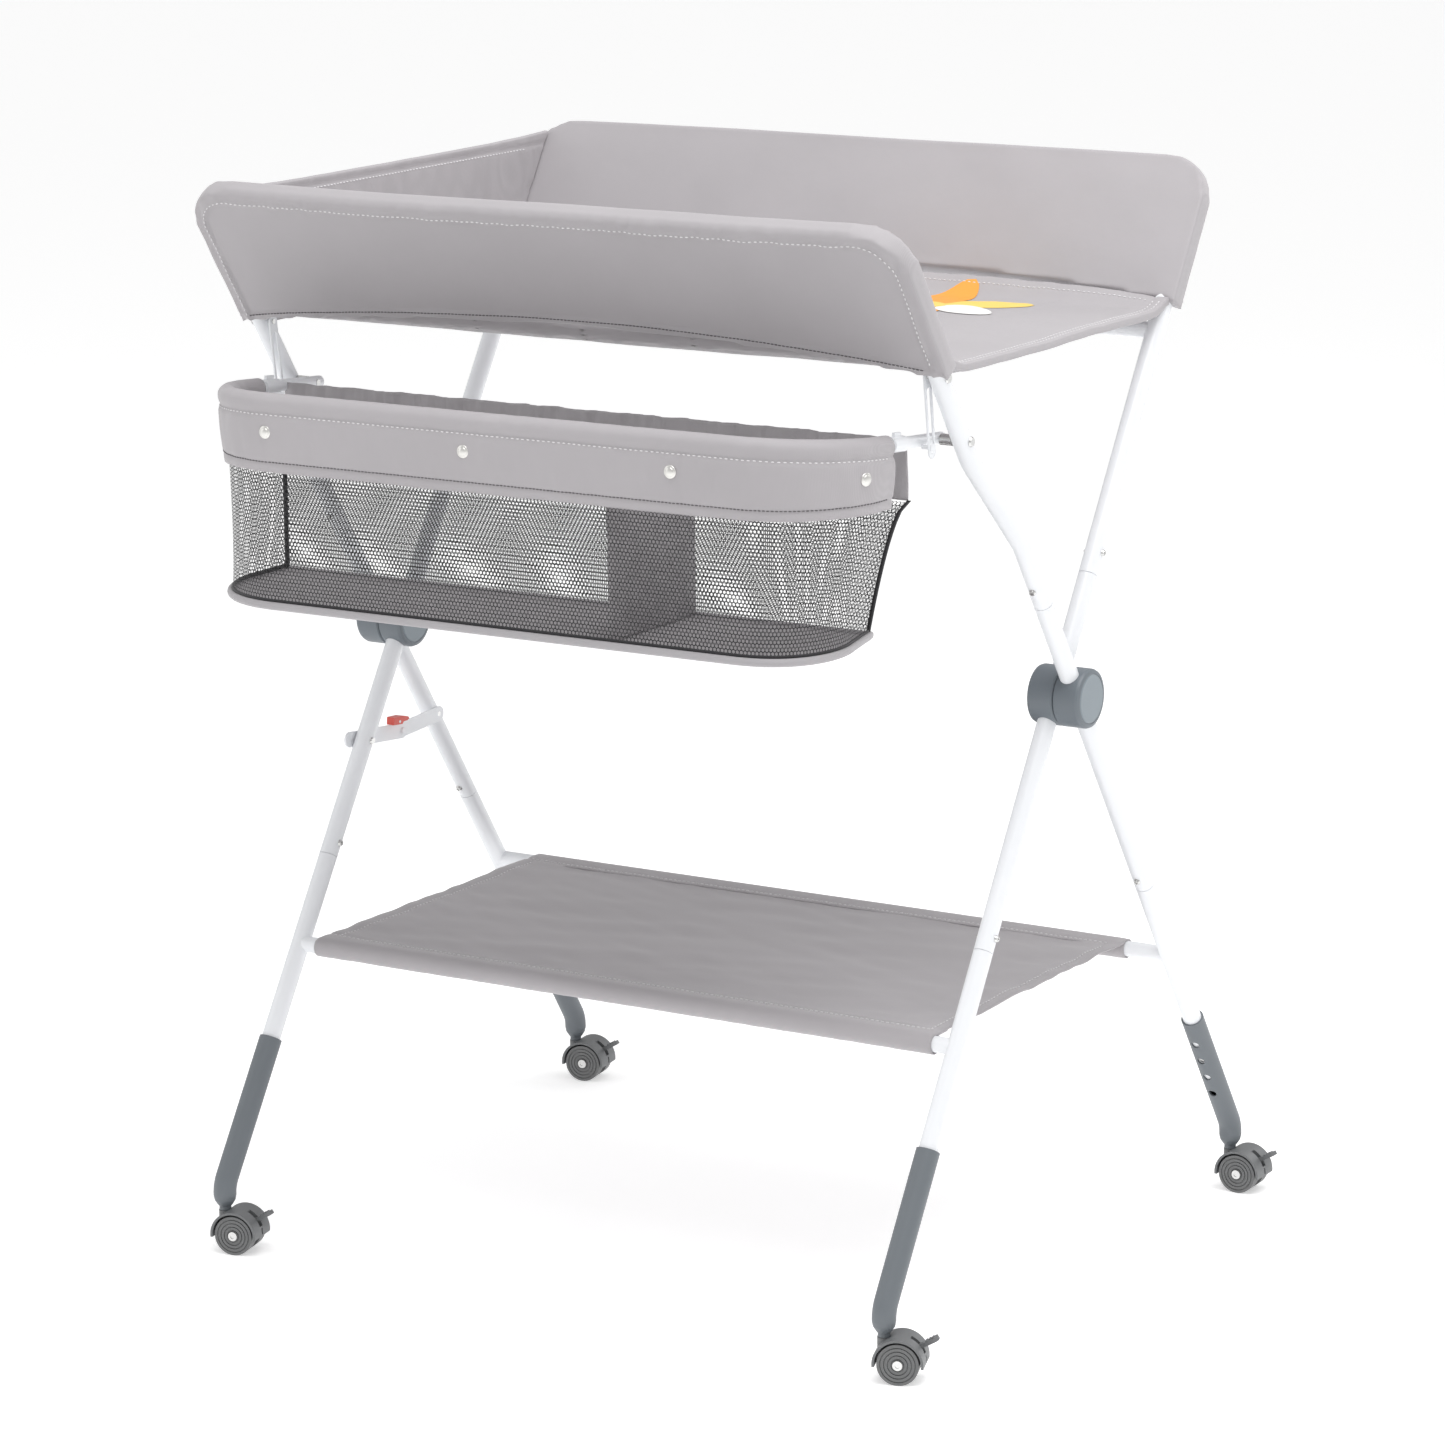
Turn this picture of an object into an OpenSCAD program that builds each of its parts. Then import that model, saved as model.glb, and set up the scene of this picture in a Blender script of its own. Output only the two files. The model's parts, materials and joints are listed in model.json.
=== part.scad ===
// Folding changing table: two tube frames crossed at a pair of hubs, a fabric top
// with raised walls, a hanging basket, a cloth shelf and four braked casters.
// Millimetres, +Z up, +X along the table, -Y towards the person using it.

/* [Frame] */
// Outside diameter of the main tubes
tube_d = 19; // [16:0.5:20]
// Wall thickness of the main tubes
tube_wall = 1.2; // [0.8:0.1:2]
// Distance from the middle to the inner frame's tubes
inner_half = 380; // [340:1:400]
// Distance from the middle to the outer frame's tubes
outer_half = 404; // [364:1:424]
// Height of the hub axis above the floor
hub_height = 588; // [578:1:598]
// Lean of the inner frame from upright, in degrees
inner_lean = 32.6; // [31:0.1:34]
// Lean of the outer frame from upright, in degrees
outer_lean = 34; // [33:0.1:35]
// Diameter of the crossbars
bar_d = 16; // [12:1:18]

/* [Top] */
// Height of the changing surface
mat_top = 935; // [928:1:943]
// Thickness of the changing mat
mat_thick = 12; // [8:1:14]
// Half length of the padded walls
wall_half = 396; // [392:1:400]
// Thickness of the padded walls
wall_thick = 26; // [24:1:30]

/* [Basket] */
// Half width between the basket's arms
arm_half = 352; // [346:1:354]
// Reach of the basket's arms, pivot to front bar
arm_reach = 205; // [190:1:210]
// Depth of the fabric band below the arm pivots
band_depth = 50; // [44:1:60]
// Depth of the whole basket below the arm pivots
basket_depth = 180; // [150:1:190]

/* [Casters] */
// Wheel diameter
wheel_d = 40; // [36:1:42]
// Trail of the wheel axle behind the stem
caster_trail = 15.5; // [14:0.5:18]

/* [Hidden] */
$fn = 48;
hub_y = -2;
// The origin is on the floor below the middle of the whole outline
plan_shift = [-18, 12.5, 0];
tube_r = tube_d / 2;
bore_r = tube_r - tube_wall;
bar_r = bar_d / 2;
run_gap = 0.05;      // radial running clearance of pins in their bores
side_gap = 0.3;      // clearance between faces that slide past each other
weld_seam = 0.02;    // hairline between a bend of a tube and the straights beside it
joint_gap = 0.6;     // groove left where one tube is slid over the spigot of the next

// Hubs: two halves side by side on each side of the table
hub_r = 29;
hub_split = (inner_half + outer_half) / 2;
hub_half_w = 27.7;
bolt_r = 4;

// Distances along the leaning tubes, measured from the hub axis
upper_joint = 125;
lower_joint = -264;
spigot_len = 30;
screw_at = [upper_joint + 24, lower_joint + 15];
screw_r = 1.8;
leg_end = -555;
back_rail_at = 386;
front_rail_at = 423;
front_rail_offset = 14;
front_rail_half = inner_half - 3.5;
front_bow_top = 563;
back_bow_top = 552;
bow_corner = 58;
jog_start = 200;
jog_end = 305;
front_bar_at = -359.4;
back_bar_at = -367;

// Feet
sleeve_r = 11.5;
sleeve_top = -462;
corner_at_front = -618;
corner_at_back = -627.5;
hole_pitch = 25;
first_hole = -492;
button_r = 3.9;
stem_r = 4;
neck_r = 6;
neck_bottom = 42;
dome_z = 58;
foot_bend = 30;

// Basket arm pivot and slotted links
arm_pivot_at = 330.5;
link_pivot_at = 409;
arm_rise = 4.5;
arm_r = 6;
arm_corner = 95;
link_rivet = [-35, -2];

link_face = 366.6;
link_thick = 1.6;

// Brace on the left side, points as [y, z]
brace_front = on_inner(-136.6);
brace_rear = on_outer(-143.7);
brace_mid = [7.4, 465];
brace_half = hub_split;
brace_rivet_r = 2.5;

wheel_r = wheel_d / 2;
FRONT = -1;
BACK = 1;
LEFT = -1;
RIGHT = 1;
// Angle of each caster's trail from +X
caster_angle = [["front_left", 12], ["front_right", 20], ["back_left", 9], ["back_right", 1]];

// A point on the inner or outer frame's centre line, as [y, z]
function on_inner(s) = [hub_y + s * sin(inner_lean), hub_height + s * cos(inner_lean)];
function on_outer(s) = [hub_y - s * sin(outer_lean), hub_height + s * cos(outer_lean)];
function unit(v) = v / norm(v);
function cross2(a, b) = a.x * b.y - a.y * b.x;

module white() { color("white") children(); }
module grey() { color("slategray") children(); }
module steel() { color("silver") children(); }
module cloth() { color("darkgray") children(); }

module placed() { translate(plan_shift) children(); }

// The leaning planes of the two frames: local Z runs up the tubes from the hub axis
module inner_plane() { translate([0, hub_y, hub_height]) rotate([-inner_lean, 0, 0]) children(); }
module outer_plane() { translate([0, hub_y, hub_height]) rotate([outer_lean, 0, 0]) children(); }

module along_x(x0, x1, r) { translate([x0, 0, 0]) rotate([0, 90, 0]) cylinder(h = x1 - x0, r = r); }

module tube(s0, s1, r = tube_r) {
    translate([0, 0, s0]) difference() {
        cylinder(h = s1 - s0, r = r);
        translate([0, 0, -1]) cylinder(h = s1 - s0 + 2, r = r - tube_wall);
    }
}

// A round bar of radius r along a flat route of [x, z] points, bent at each inner point.
// With a bore it is a tube.
module bent_bar(route, bends, r, bore = 0) {
    last = len(route) - 1;
    trims = [for (i = [0 : last]) i == 0 || i == last ? 0 :
        bends[i - 1] * tan(abs(turn_at(route, i)) / 2)];
    for (i = [0 : last - 1]) {
        u = unit(route[i + 1] - route[i]);
        seam = bore > 0 ? weld_seam : 0;
        a = route[i] + u * (trims[i] + seam);
        length = norm(route[i + 1] - route[i]) - trims[i] - trims[i + 1] - 2 * seam;
        translate([a.x, 0, a.y]) rotate([0, atan2(u.x, u.y), 0]) difference() {
            cylinder(h = length, r = r);
            if (bore > 0) translate([0, 0, -1]) cylinder(h = length + 2, r = bore);
        }
    }
    for (i = [1 : last - 1]) bar_elbow(route, i, bends[i - 1], trims[i], r, bore);
}

function turn_at(route, i) =
    let (u = unit(route[i] - route[i - 1]), v = unit(route[i + 1] - route[i]))
    atan2(cross2(u, v), u * v);

module bar_elbow(route, i, bend, trim, r, bore) {
    u = unit(route[i] - route[i - 1]);
    turn = turn_at(route, i);
    side = turn > 0 ? [-u.y, u.x] : [u.y, -u.x];
    centre = route[i] - u * trim + side * bend;
    from = atan2(-side.y, -side.x);
    translate([centre.x, 0, centre.y]) rotate([90, 0, 0])
        rotate([0, 0, turn > 0 ? from : from + turn])
        rotate_extrude(angle = abs(turn)) translate([bend, 0]) difference() {
            circle(r = r);
            if (bore > 0) circle(r = bore);
        }
}

// ---- tubes ----
bow_foot = upper_joint + joint_gap;
back_route = [[-inner_half, bow_foot], [-inner_half, back_bow_top],
    [inner_half, back_bow_top], [inner_half, bow_foot]];
front_route = [[-outer_half, bow_foot], [-outer_half, jog_start], [-inner_half, jog_end],
    [-inner_half, front_bow_top], [inner_half, front_bow_top], [inner_half, jog_end],
    [outer_half, jog_start], [outer_half, bow_foot]];
front_bends = [60, 60, bow_corner, bow_corner, 60, 60];

module back_bow() {
    white() inner_plane() difference() {
        bent_bar(back_route, [bow_corner, bow_corner], tube_r, bore_r);
        screw_holes(inner_half, 90);
    }
}

module front_bow() {
    white() outer_plane() difference() {
        bent_bar(front_route, front_bends, tube_r, bore_r);
        for (s = [arm_pivot_at, link_pivot_at])
            translate([0, 0, s]) along_x(-outer_half, outer_half, 3);
        screw_holes(outer_half);
    }
}

// A crossbar between two leaning tubes, its ends cut to sit round them
module crossbar(half) {
    difference() {
        along_x(-half, half, bar_r);
        for (side = [LEFT, RIGHT]) translate([side * half, 0, -30]) cylinder(h = 60, r = tube_r);
    }
}

module back_rail() {
    white() inner_plane() translate([0, 0, back_rail_at]) crossbar(inner_half);
}
// The front rail sits on the inner side of the bow, clear of the slotted links
module front_rail_space() { translate([0, front_rail_offset, front_rail_at]) children(); }
module front_rail() {
    white() outer_plane() difference() {
        front_rail_space() along_x(-front_rail_half, front_rail_half, bar_r);
        for (side = [LEFT, RIGHT]) translate([side * inner_half, 0, front_rail_at - 30])
            cylinder(h = 60, r = tube_r);
    }
}
module front_shelf_bar() {
    white() inner_plane() translate([0, 0, front_bar_at]) crossbar(inner_half);
}
module back_shelf_bar() {
    white() outer_plane() translate([0, 0, back_bar_at]) crossbar(outer_half);
}

// Middle tubes run right through the hubs and carry a spigot for the bow above
module middle_tubes(half) {
    for (side = [LEFT, RIGHT]) translate([side * half, 0, 0]) difference() {
        union() {
            tube(lower_joint + joint_gap, upper_joint);
            tube(upper_joint - spigot_len, upper_joint + spigot_len, bore_r - run_gap);
        }
        along_x(-tube_d, tube_d, bolt_r + run_gap);
    }
}
module inner_middle_tubes() {
    white() difference() {
        inner_plane() difference() {
            middle_tubes(inner_half);
            screw_holes(inner_half, 90);
        }
        translate([0, brace_front.x, brace_front.y])
            along_x(-outer_half, 0, brace_rivet_r + run_gap);
    }
}
module outer_middle_tubes() {
    white() difference() {
        outer_plane() difference() {
            middle_tubes(outer_half);
            screw_holes(outer_half);
        }
        translate([0, brace_rear.x, brace_rear.y])
            along_x(-outer_half, 0, brace_rivet_r + run_gap);
    }
}

// A lower leg: spigot up into the middle tube, hole for the height button below
module leg(side, half, button_side) {
    hole_s = first_hole - hole_pitch;
    translate([side * half, 0, 0]) difference() {
        union() {
            tube(leg_end, lower_joint);
            tube(lower_joint - spigot_len, lower_joint + spigot_len, bore_r - run_gap);
        }
        translate([0, 0, hole_s]) rotate([-90 * button_side, 0, 0])
            cylinder(h = tube_d, r = button_r + side_gap);
        translate([-side * half, 0, 0]) screw_holes(half, half == inner_half ? 90 : 0);
    }
}
module front_leg_left() { white() inner_plane() leg(LEFT, inner_half, BACK); }
module front_leg_right() { white() inner_plane() leg(RIGHT, inner_half, BACK); }
module back_leg_left() { white() outer_plane() leg(LEFT, outer_half, FRONT); }
module back_leg_right() { white() outer_plane() leg(RIGHT, outer_half, FRONT); }

// ---- hubs ----
cap_depth = 1.6;
recess_depth = 6.2;
bolt_head_h = 3.8;
// Half a hub, drawn from the split (x = 0) outwards to x = hub_half_w
module hub_half(tube_x) {
    recess = hub_half_w - recess_depth;
    difference() {
        rotate([0, 90, 0]) rotate_extrude() polygon([[0, 0], [hub_r - 1.5, 0], [hub_r, 1.5],
            [hub_r, hub_half_w - 3.5], [hub_r - 1, hub_half_w - 1], [hub_r - 3.5, hub_half_w],
            [0, hub_half_w]]);
        translate([tube_x, 0, -hub_r - 1]) cylinder(h = 2 * hub_r + 2, r = tube_r);
        along_x(-1, hub_half_w + 1, bolt_r + run_gap);
        along_x(recess, hub_half_w + 1, 9);
        along_x(hub_half_w - cap_depth, hub_half_w + 1, hub_r - 5);
    }
}
tube_in_hub = (outer_half - inner_half) / 2;
module outer_hub(side) {
    grey() outer_plane() scale([side, 1, 1]) translate([hub_split + side_gap, 0, 0])
        hub_half(tube_in_hub - side_gap);
}
module inner_hub(side) {
    grey() inner_plane() scale([side, 1, 1]) translate([hub_split - side_gap, 0, 0])
        scale([-1, 1, 1]) hub_half(tube_in_hub - side_gap);
}
module outer_hub_left() { outer_hub(LEFT); }
module outer_hub_right() { outer_hub(RIGHT); }
module inner_hub_left() { inner_hub(LEFT); }
module inner_hub_right() { inner_hub(RIGHT); }

cap_r = hub_r - 5.2;
module hub_cap() {
    rotate([0, 90, 0]) rotate_extrude()
        polygon([[0, 0], [cap_r, 0], [cap_r, 1.4], [cap_r - 1, 2.1], [0, 2.1]]);
}
module outer_hub_caps() {
    color("lightslategray") outer_plane() for (side = [LEFT, RIGHT]) scale([side, 1, 1])
        translate([hub_split + side_gap + hub_half_w - cap_depth, 0, 0]) hub_cap();
}
module inner_hub_caps() {
    color("lightslategray") inner_plane() for (side = [LEFT, RIGHT]) scale([side, 1, 1])
        translate([hub_split - side_gap - hub_half_w + cap_depth, 0, 0])
            scale([-1, 1, 1]) hub_cap();
}

// The pivot bolt of each hub, its head in the outer half and its nut in the inner half
module hub_bolts() {
    head_x = hub_split + side_gap + hub_half_w - recess_depth + side_gap;
    nut_x = hub_split - side_gap - hub_half_w + recess_depth;
    steel() translate([0, hub_y, hub_height]) for (side = [LEFT, RIGHT]) scale([side, 1, 1]) {
        along_x(nut_x - bolt_head_h - 0.4, head_x + 1, bolt_r);
        along_x(head_x, head_x + bolt_head_h, 7.5);
        difference() {
            along_x(nut_x - bolt_head_h, nut_x, 7.5);
            along_x(nut_x - 5, nut_x + 1, bolt_r);
        }
    }
}

// ---- screws and rivets of the two frames ----
module screw_holes(half, turn = 0) {
    for (side = [LEFT, RIGHT], s = screw_at) translate([side * half, 0, s])
        rotate([0, 0, turn]) translate([0, -tube_d, 0]) rotate([-90, 0, 0])
            cylinder(h = 2 * tube_d, r = screw_r + run_gap);
}
// A cross screw through the tube, its head proud of the front side
module frame_screw() {
    rotate([90, 0, 0]) {
        translate([0, 0, -tube_r - 1]) cylinder(h = 2 * tube_r + 2, r = screw_r);
        translate([0, 0, tube_r + 0.1]) difference() {
            cylinder(h = 2.2, r1 = 3.6, r2 = 2.6);
            for (a = [0, 90]) rotate([0, 0, a])
                translate([-2, -0.4, 1.4]) cube([4, 0.8, 2]);
        }
    }
}
// A rivet along X from x0 to x1 with a flat round head at x1
module rivet(x0, x1, r, head_r, head_h = 1.8) {
    along_x(x0, x1, r);
    translate([x1, 0, 0]) rotate([0, 90, 0]) cylinder(h = head_h, r1 = head_r, r2 = head_r - 0.9);
}
module inner_frame_screws() {
    steel() {
        inner_plane() for (side = [LEFT, RIGHT], s = screw_at)
            translate([side * inner_half, 0, s]) rotate([0, 0, 90]) frame_screw();
        translate([0, brace_front.x, brace_front.y])
            rivet(-brace_half - 0.1, tube_r - inner_half, brace_rivet_r, 4);
    }
}
module outer_frame_screws() {
    steel() {
        outer_plane() {
            for (side = [LEFT, RIGHT], s = screw_at)
                translate([side * outer_half, 0, s]) frame_screw();
            for (side = [LEFT, RIGHT]) scale([side, 1, 1]) {
                translate([0, 0, arm_pivot_at]) {
                    rivet(arm_half - arm_r - 0.5, inner_half + tube_r, 2.95, 5);
                    along_x(arm_half + arm_r + side_gap, inner_half - tube_r - 0.1, 5.5);
                }
                translate([0, 0, link_pivot_at])
                    rivet(link_face - 0.8, inner_half + tube_r, 2.45, 5);
            }
        }
        translate([0, brace_rear.x, brace_rear.y])
            along_x(-outer_half, -brace_half - 0.4, brace_rivet_r);
    }
}

// ---- brace on the left side ----
module link_outline(a, b, r, extra = 0) {
    u = unit(b - a);
    hull() {
        translate(a - u * extra) circle(r = r, $fn = 32);
        translate(b) circle(r = r, $fn = 32);
    }
}
// A flat plate in the YZ plane between x0 and x1, from a 2D outline in [y, z]
module plate_x(x0, x1) {
    translate([x0, 0, 0]) rotate([90, 0, 90]) linear_extrude(height = x1 - x0) children();
}
// The front link's own frame: Y runs along it from the front rivet to the middle joint
module brace_space() {
    u = unit(brace_mid - brace_front);
    translate([0, brace_mid.x, brace_mid.y]) rotate([atan2(u.y, u.x), 0, 0]) children();
}
link_r = 8;
catch_pin = [-19, 12.5];
catch_pin_r = 1.5;
module brace_front_link() {
    white() plate_x(-brace_half - 0.1, -brace_half + 1.9) difference() {
        link_outline(brace_front, brace_mid, link_r, 11);
        translate(brace_front) circle(r = brace_rivet_r + run_gap);
    }
    white() brace_space() {
        plate_x(-brace_half - 0.1, -brace_half + 1.9) {
            translate(catch_pin) circle(r = 4);
            translate([catch_pin.x - 4, 0]) square([8, catch_pin.y]);
        }
        translate([0, catch_pin.x, catch_pin.y])
            along_x(-brace_half + 1.9, -brace_half + 11.5, catch_pin_r);
    }
    steel() translate([0, brace_mid.x, brace_mid.y])
        rivet(-brace_half + 1.9, -brace_half + 2, 3, 4);
}
module brace_rear_link() {
    white() plate_x(-brace_half - 2.2, -brace_half - 0.4) difference() {
        link_outline(brace_mid, brace_rear, link_r);
        translate(brace_rear) circle(r = brace_rivet_r + run_gap);
    }
    steel() translate([0, brace_mid.x, brace_mid.y])
        along_x(-brace_half - 2.4, -brace_half - 2.2, 4);
}
// Red thumb catch that lifts the brace over its locked position
module brace_release() {
    color("indianred") brace_space() plate_x(-brace_half + 2.2, -brace_half + 11.2) difference() {
        polygon([[-30, 9.5], [-14, 9.5], [-12, 12], [-5, 12.5], [-2, 14.5], [-4, 16.5], [-14, 18],
            [-30, 17.5]]);
        translate(catch_pin) circle(r = catch_pin_r + run_gap);
    }
}

// ---- feet ----
module foot(side, end) {
    half = end == FRONT ? inner_half : outer_half;
    corner = end == FRONT ? on_inner(corner_at_front) : on_outer(corner_at_back);
    top = end == FRONT ? on_inner(sleeve_top) : on_outer(sleeve_top);
    grey() difference() {
        union() {
            translate([side * half, 0, 0]) rotate([0, 0, 90]) {
                bent_bar([top, corner, [corner.x, dome_z]], [foot_bend], sleeve_r);
            }
            translate([side * half, corner.x, 0]) rotate_extrude()
                polygon([[0, neck_bottom], [neck_r, neck_bottom], [neck_r, neck_bottom + 3.5],
                    [sleeve_r - 3.5, neck_bottom + 6], [sleeve_r - 1, neck_bottom + 10],
                    [sleeve_r, neck_bottom + 15], [sleeve_r, dome_z], [0, dome_z]]);
        }
        leg_space(side, end) translate([0, 0, leg_end - 51])
            cylinder(h = sleeve_top - leg_end + 60, r = tube_r + run_gap);
        translate([side * half, corner.x, neck_bottom - 1])
            cylinder(h = 16, r = stem_r + run_gap);
        leg_space(side, end) for (i = [0 : 3])
            translate([0, 0, first_hole - i * hole_pitch]) rotate([end * 90, 0, 0])
                cylinder(h = tube_d, r = button_r + side_gap);
    }
}
module leg_space(side, end) {
    if (end == FRONT) inner_plane() translate([side * inner_half, 0, 0]) children();
    else outer_plane() translate([side * outer_half, 0, 0]) children();
}
module foot_front_left() { foot(LEFT, FRONT); }
module foot_front_right() { foot(RIGHT, FRONT); }
module foot_back_left() { foot(LEFT, BACK); }
module foot_back_right() { foot(RIGHT, BACK); }

// Sprung height button, standing in the second hole of its sleeve
module button(side, end) {
    steel() leg_space(side, end) translate([0, 0, first_hole - hole_pitch])
        rotate([end * 90, 0, 0]) {
            translate([0, 0, tube_r - 4.5]) cylinder(h = 3.3, r = button_r);
            translate([0, 0, tube_r - 1.2]) cylinder(h = 0.8, r1 = button_r, r2 = button_r - 1.2);
        }
}
module button_front_left() { button(LEFT, FRONT); }
module button_front_right() { button(RIGHT, FRONT); }
module button_back_left() { button(LEFT, BACK); }
module button_back_right() { button(RIGHT, BACK); }

// ---- casters ----
hood_r = 24.5;
hood_w = 37;
hood_wall = 2.3;
hood_open = 17.5;
web_w = 10;
lever_at = [29.5, 31.5];
lever_w = 6;
lever_rise = 30;

// Local caster frame: stem on Z, the wheel trails along +X, the axle along Y
module caster_space(side, end, angle) {
    stem = end == FRONT ? [side * inner_half, on_inner(corner_at_front).x] :
        [side * outer_half, on_outer(corner_at_back).x];
    translate([stem.x, stem.y, 0]) rotate([0, 0, angle]) children();
}
module about_axle(y0, y1, r) {
    translate([caster_trail, y1, wheel_r]) rotate([90, 0, 0]) cylinder(h = y1 - y0, r = r);
}
module hood(side, end, angle) {
    caster_space(side, end, angle) {
        grey() difference() {
            union() {
                about_axle(-hood_w / 2, hood_w / 2, hood_r);
                translate([0, 0, 30]) cylinder(h = neck_bottom - 30 - side_gap, r = 6.5);
            }
            for (s = [-1, 1]) scale([1, s, 1]) {
                about_axle(web_w / 2, hood_w, hood_r - hood_wall);
                translate([-50, web_w / 2, -10]) cube([100, hood_w, 10 + hood_open]);
            }
            translate([-50, -hood_w, -10]) cube([100, 2 * hood_w, 17]);
            difference() {
                translate([-50, -hood_w, -10]) cube([100, 2 * hood_w, 10 + hood_open]);
                about_axle(-web_w / 2, web_w / 2, wheel_r - 3);
            }
            translate([lever_at.x - 4.2, -lever_w / 2 - side_gap, 27.5])
                cube([40, lever_w + 2 * side_gap, 30]);
            translate([caster_trail + 20.5, -1.3, 19]) cube([10, 2.6, 6.5]);
            translate([lever_at.x, 0, lever_at.y]) rotate([90, 0, 0])
                translate([0, 0, -web_w]) cylinder(h = 2 * web_w, r = 1.5 + run_gap);
            about_axle(-hood_w, hood_w, 3);
            translate([0, 0, 25]) cylinder(h = 40, r = stem_r);
            translate([0, 0, neck_bottom - side_gap]) cylinder(h = 20, r = neck_r + 1);
        }
        steel() translate([0, 0, 33]) cylinder(h = neck_bottom + 14 - 33, r = stem_r);
    }
}
module wheels(side, end, angle) {
    color("dimgray") caster_space(side, end, angle) for (s = [-1, 1]) scale([1, s, 1])
        difference() {
            about_axle(web_w / 2 + side_gap, hood_w / 2 - 1.2, wheel_r);
            about_axle(0, hood_w, 3 + run_gap);
            for (ring = [5.4, 9, 12.6, 16.2]) difference() {
                about_axle(hood_w / 2 - 2.2, hood_w, ring + 1);
                about_axle(0, hood_w + 1, ring);
            }
        }
}
module axle(side, end, angle) {
    steel() caster_space(side, end, angle) {
        about_axle(-hood_w / 2 + 0.9, hood_w / 2 - 0.9, 3);
        for (s = [-1, 1]) scale([1, s, 1]) difference() {
            about_axle(hood_w / 2 - 0.9, hood_w / 2 + 0.5, 4.7);
            about_axle(hood_w / 2 - 0.2, hood_w, 2.4);
        }
    }
}
// Brake lever: a boss on its pin between the wheels and a thumb tab behind the hood
module brake(side, end, angle) {
    grey() caster_space(side, end, angle) translate([lever_at.x, 0, lever_at.y]) {
        rotate([90, 0, 0]) translate([0, 0, -web_w / 2 + 0.2])
            cylinder(h = web_w - 0.4, r = 1.5);
        rotate([90, 0, 0]) translate([0, 0, -lever_w / 2]) cylinder(h = lever_w, r = 3.6);
        rotate([0, -lever_rise, 0]) {
            translate([0, 0, -2]) linear_extrude(height = 4) {
                translate([0, -lever_w / 2 + 0.4]) square([12, lever_w - 0.8]);
                hull() {
                    translate([10, -3.5]) square([1, 7]);
                    for (s = [-1, 1]) translate([21.6, s * 1.6]) circle(r = 3.6, $fn = 32);
                }
            }
            for (x = [13.5, 17, 20.5]) translate([x, 3, 2]) rotate([90, 0, 0])
                cylinder(h = 6, r = 1.1, $fn = 16);
        }
    }
}
module hood_front_left() { hood(LEFT, FRONT, caster_angle[0][1]); }
module hood_front_right() { hood(RIGHT, FRONT, caster_angle[1][1]); }
module hood_back_left() { hood(LEFT, BACK, caster_angle[2][1]); }
module hood_back_right() { hood(RIGHT, BACK, caster_angle[3][1]); }
module wheels_front_left() { wheels(LEFT, FRONT, caster_angle[0][1]); }
module wheels_front_right() { wheels(RIGHT, FRONT, caster_angle[1][1]); }
module wheels_back_left() { wheels(LEFT, BACK, caster_angle[2][1]); }
module wheels_back_right() { wheels(RIGHT, BACK, caster_angle[3][1]); }
module axle_front_left() { axle(LEFT, FRONT, caster_angle[0][1]); }
module axle_front_right() { axle(RIGHT, FRONT, caster_angle[1][1]); }
module axle_back_left() { axle(LEFT, BACK, caster_angle[2][1]); }
module axle_back_right() { axle(RIGHT, BACK, caster_angle[3][1]); }
module brake_front_left() { brake(LEFT, FRONT, caster_angle[0][1]); }
module brake_front_right() { brake(RIGHT, FRONT, caster_angle[1][1]); }
module brake_back_left() { brake(LEFT, BACK, caster_angle[2][1]); }
module brake_back_right() { brake(RIGHT, BACK, caster_angle[3][1]); }

// ---- padded walls, mat, head wall and shelf ----
wall_margin = 22;
wall_foot = 416;
wall_arch = 446;
wall_corner = 48;
// Outline of a wall in [x, s]: rounded top corners and an arched lower edge
function wall_outline(top, foot, arch) = concat(
    [for (a = [0 : 10 : 90]) [wall_half - wall_corner + wall_corner * cos(a),
        top - wall_corner + wall_corner * sin(a)]],
    [for (a = [90 : 10 : 180]) [-wall_half + wall_corner + wall_corner * cos(a),
        top - wall_corner + wall_corner * sin(a)]],
    [for (i = [0 : 16]) let (x = -wall_half + i * wall_half / 8)
        [x, foot + (arch - foot) * (1 - pow(x / wall_half, 4))]]
);
module wall_slab(outline) {
    translate([0, wall_thick / 2, 0]) rotate([90, 0, 0])
        linear_extrude(height = wall_thick) polygon(outline);
}
module front_wall() {
    cloth() outer_plane() difference() {
        wall_slab(wall_outline(front_bow_top + wall_margin, wall_foot, wall_arch));
        bent_bar(front_route, front_bends, tube_r + side_gap);
        front_rail_space() along_x(-inner_half, inner_half, bar_r + side_gap);
    }
}
module back_wall() {
    cloth() inner_plane() difference() {
        wall_slab(wall_outline(back_bow_top + wall_margin, wall_foot, wall_foot + 3));
        bent_bar(back_route, [bow_corner, bow_corner], tube_r + side_gap);
    }
}
mat_left = -377.5;
mat_right = 388;
mat_front = -216;
mat_back = 200.5;
module changing_mat() {
    cloth() translate([mat_left, mat_front, mat_top - mat_thick])
        cube([mat_right - mat_left, mat_back - mat_front, mat_thick]);
}
// The head wall spans the left end between the two padded walls, outside the mat's left edge
head_top = 1065;
head_left = -386;
head_thick = 8;
function wall_inner_y(z, lean, dir) =
    hub_y + dir * ((z - hub_height) * tan(lean) - (wall_thick / 2 + 1) / cos(lean));
module head_wall() {
    z0 = mat_top - mat_thick;
    cloth() plate_x(head_left, head_left + head_thick) polygon([
        [wall_inner_y(z0, outer_lean, -1), z0], [wall_inner_y(z0, inner_lean, 1), z0],
        [wall_inner_y(head_top, inner_lean, 1), head_top],
        [wall_inner_y(head_top, outer_lean, -1), head_top]]);
}
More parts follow.
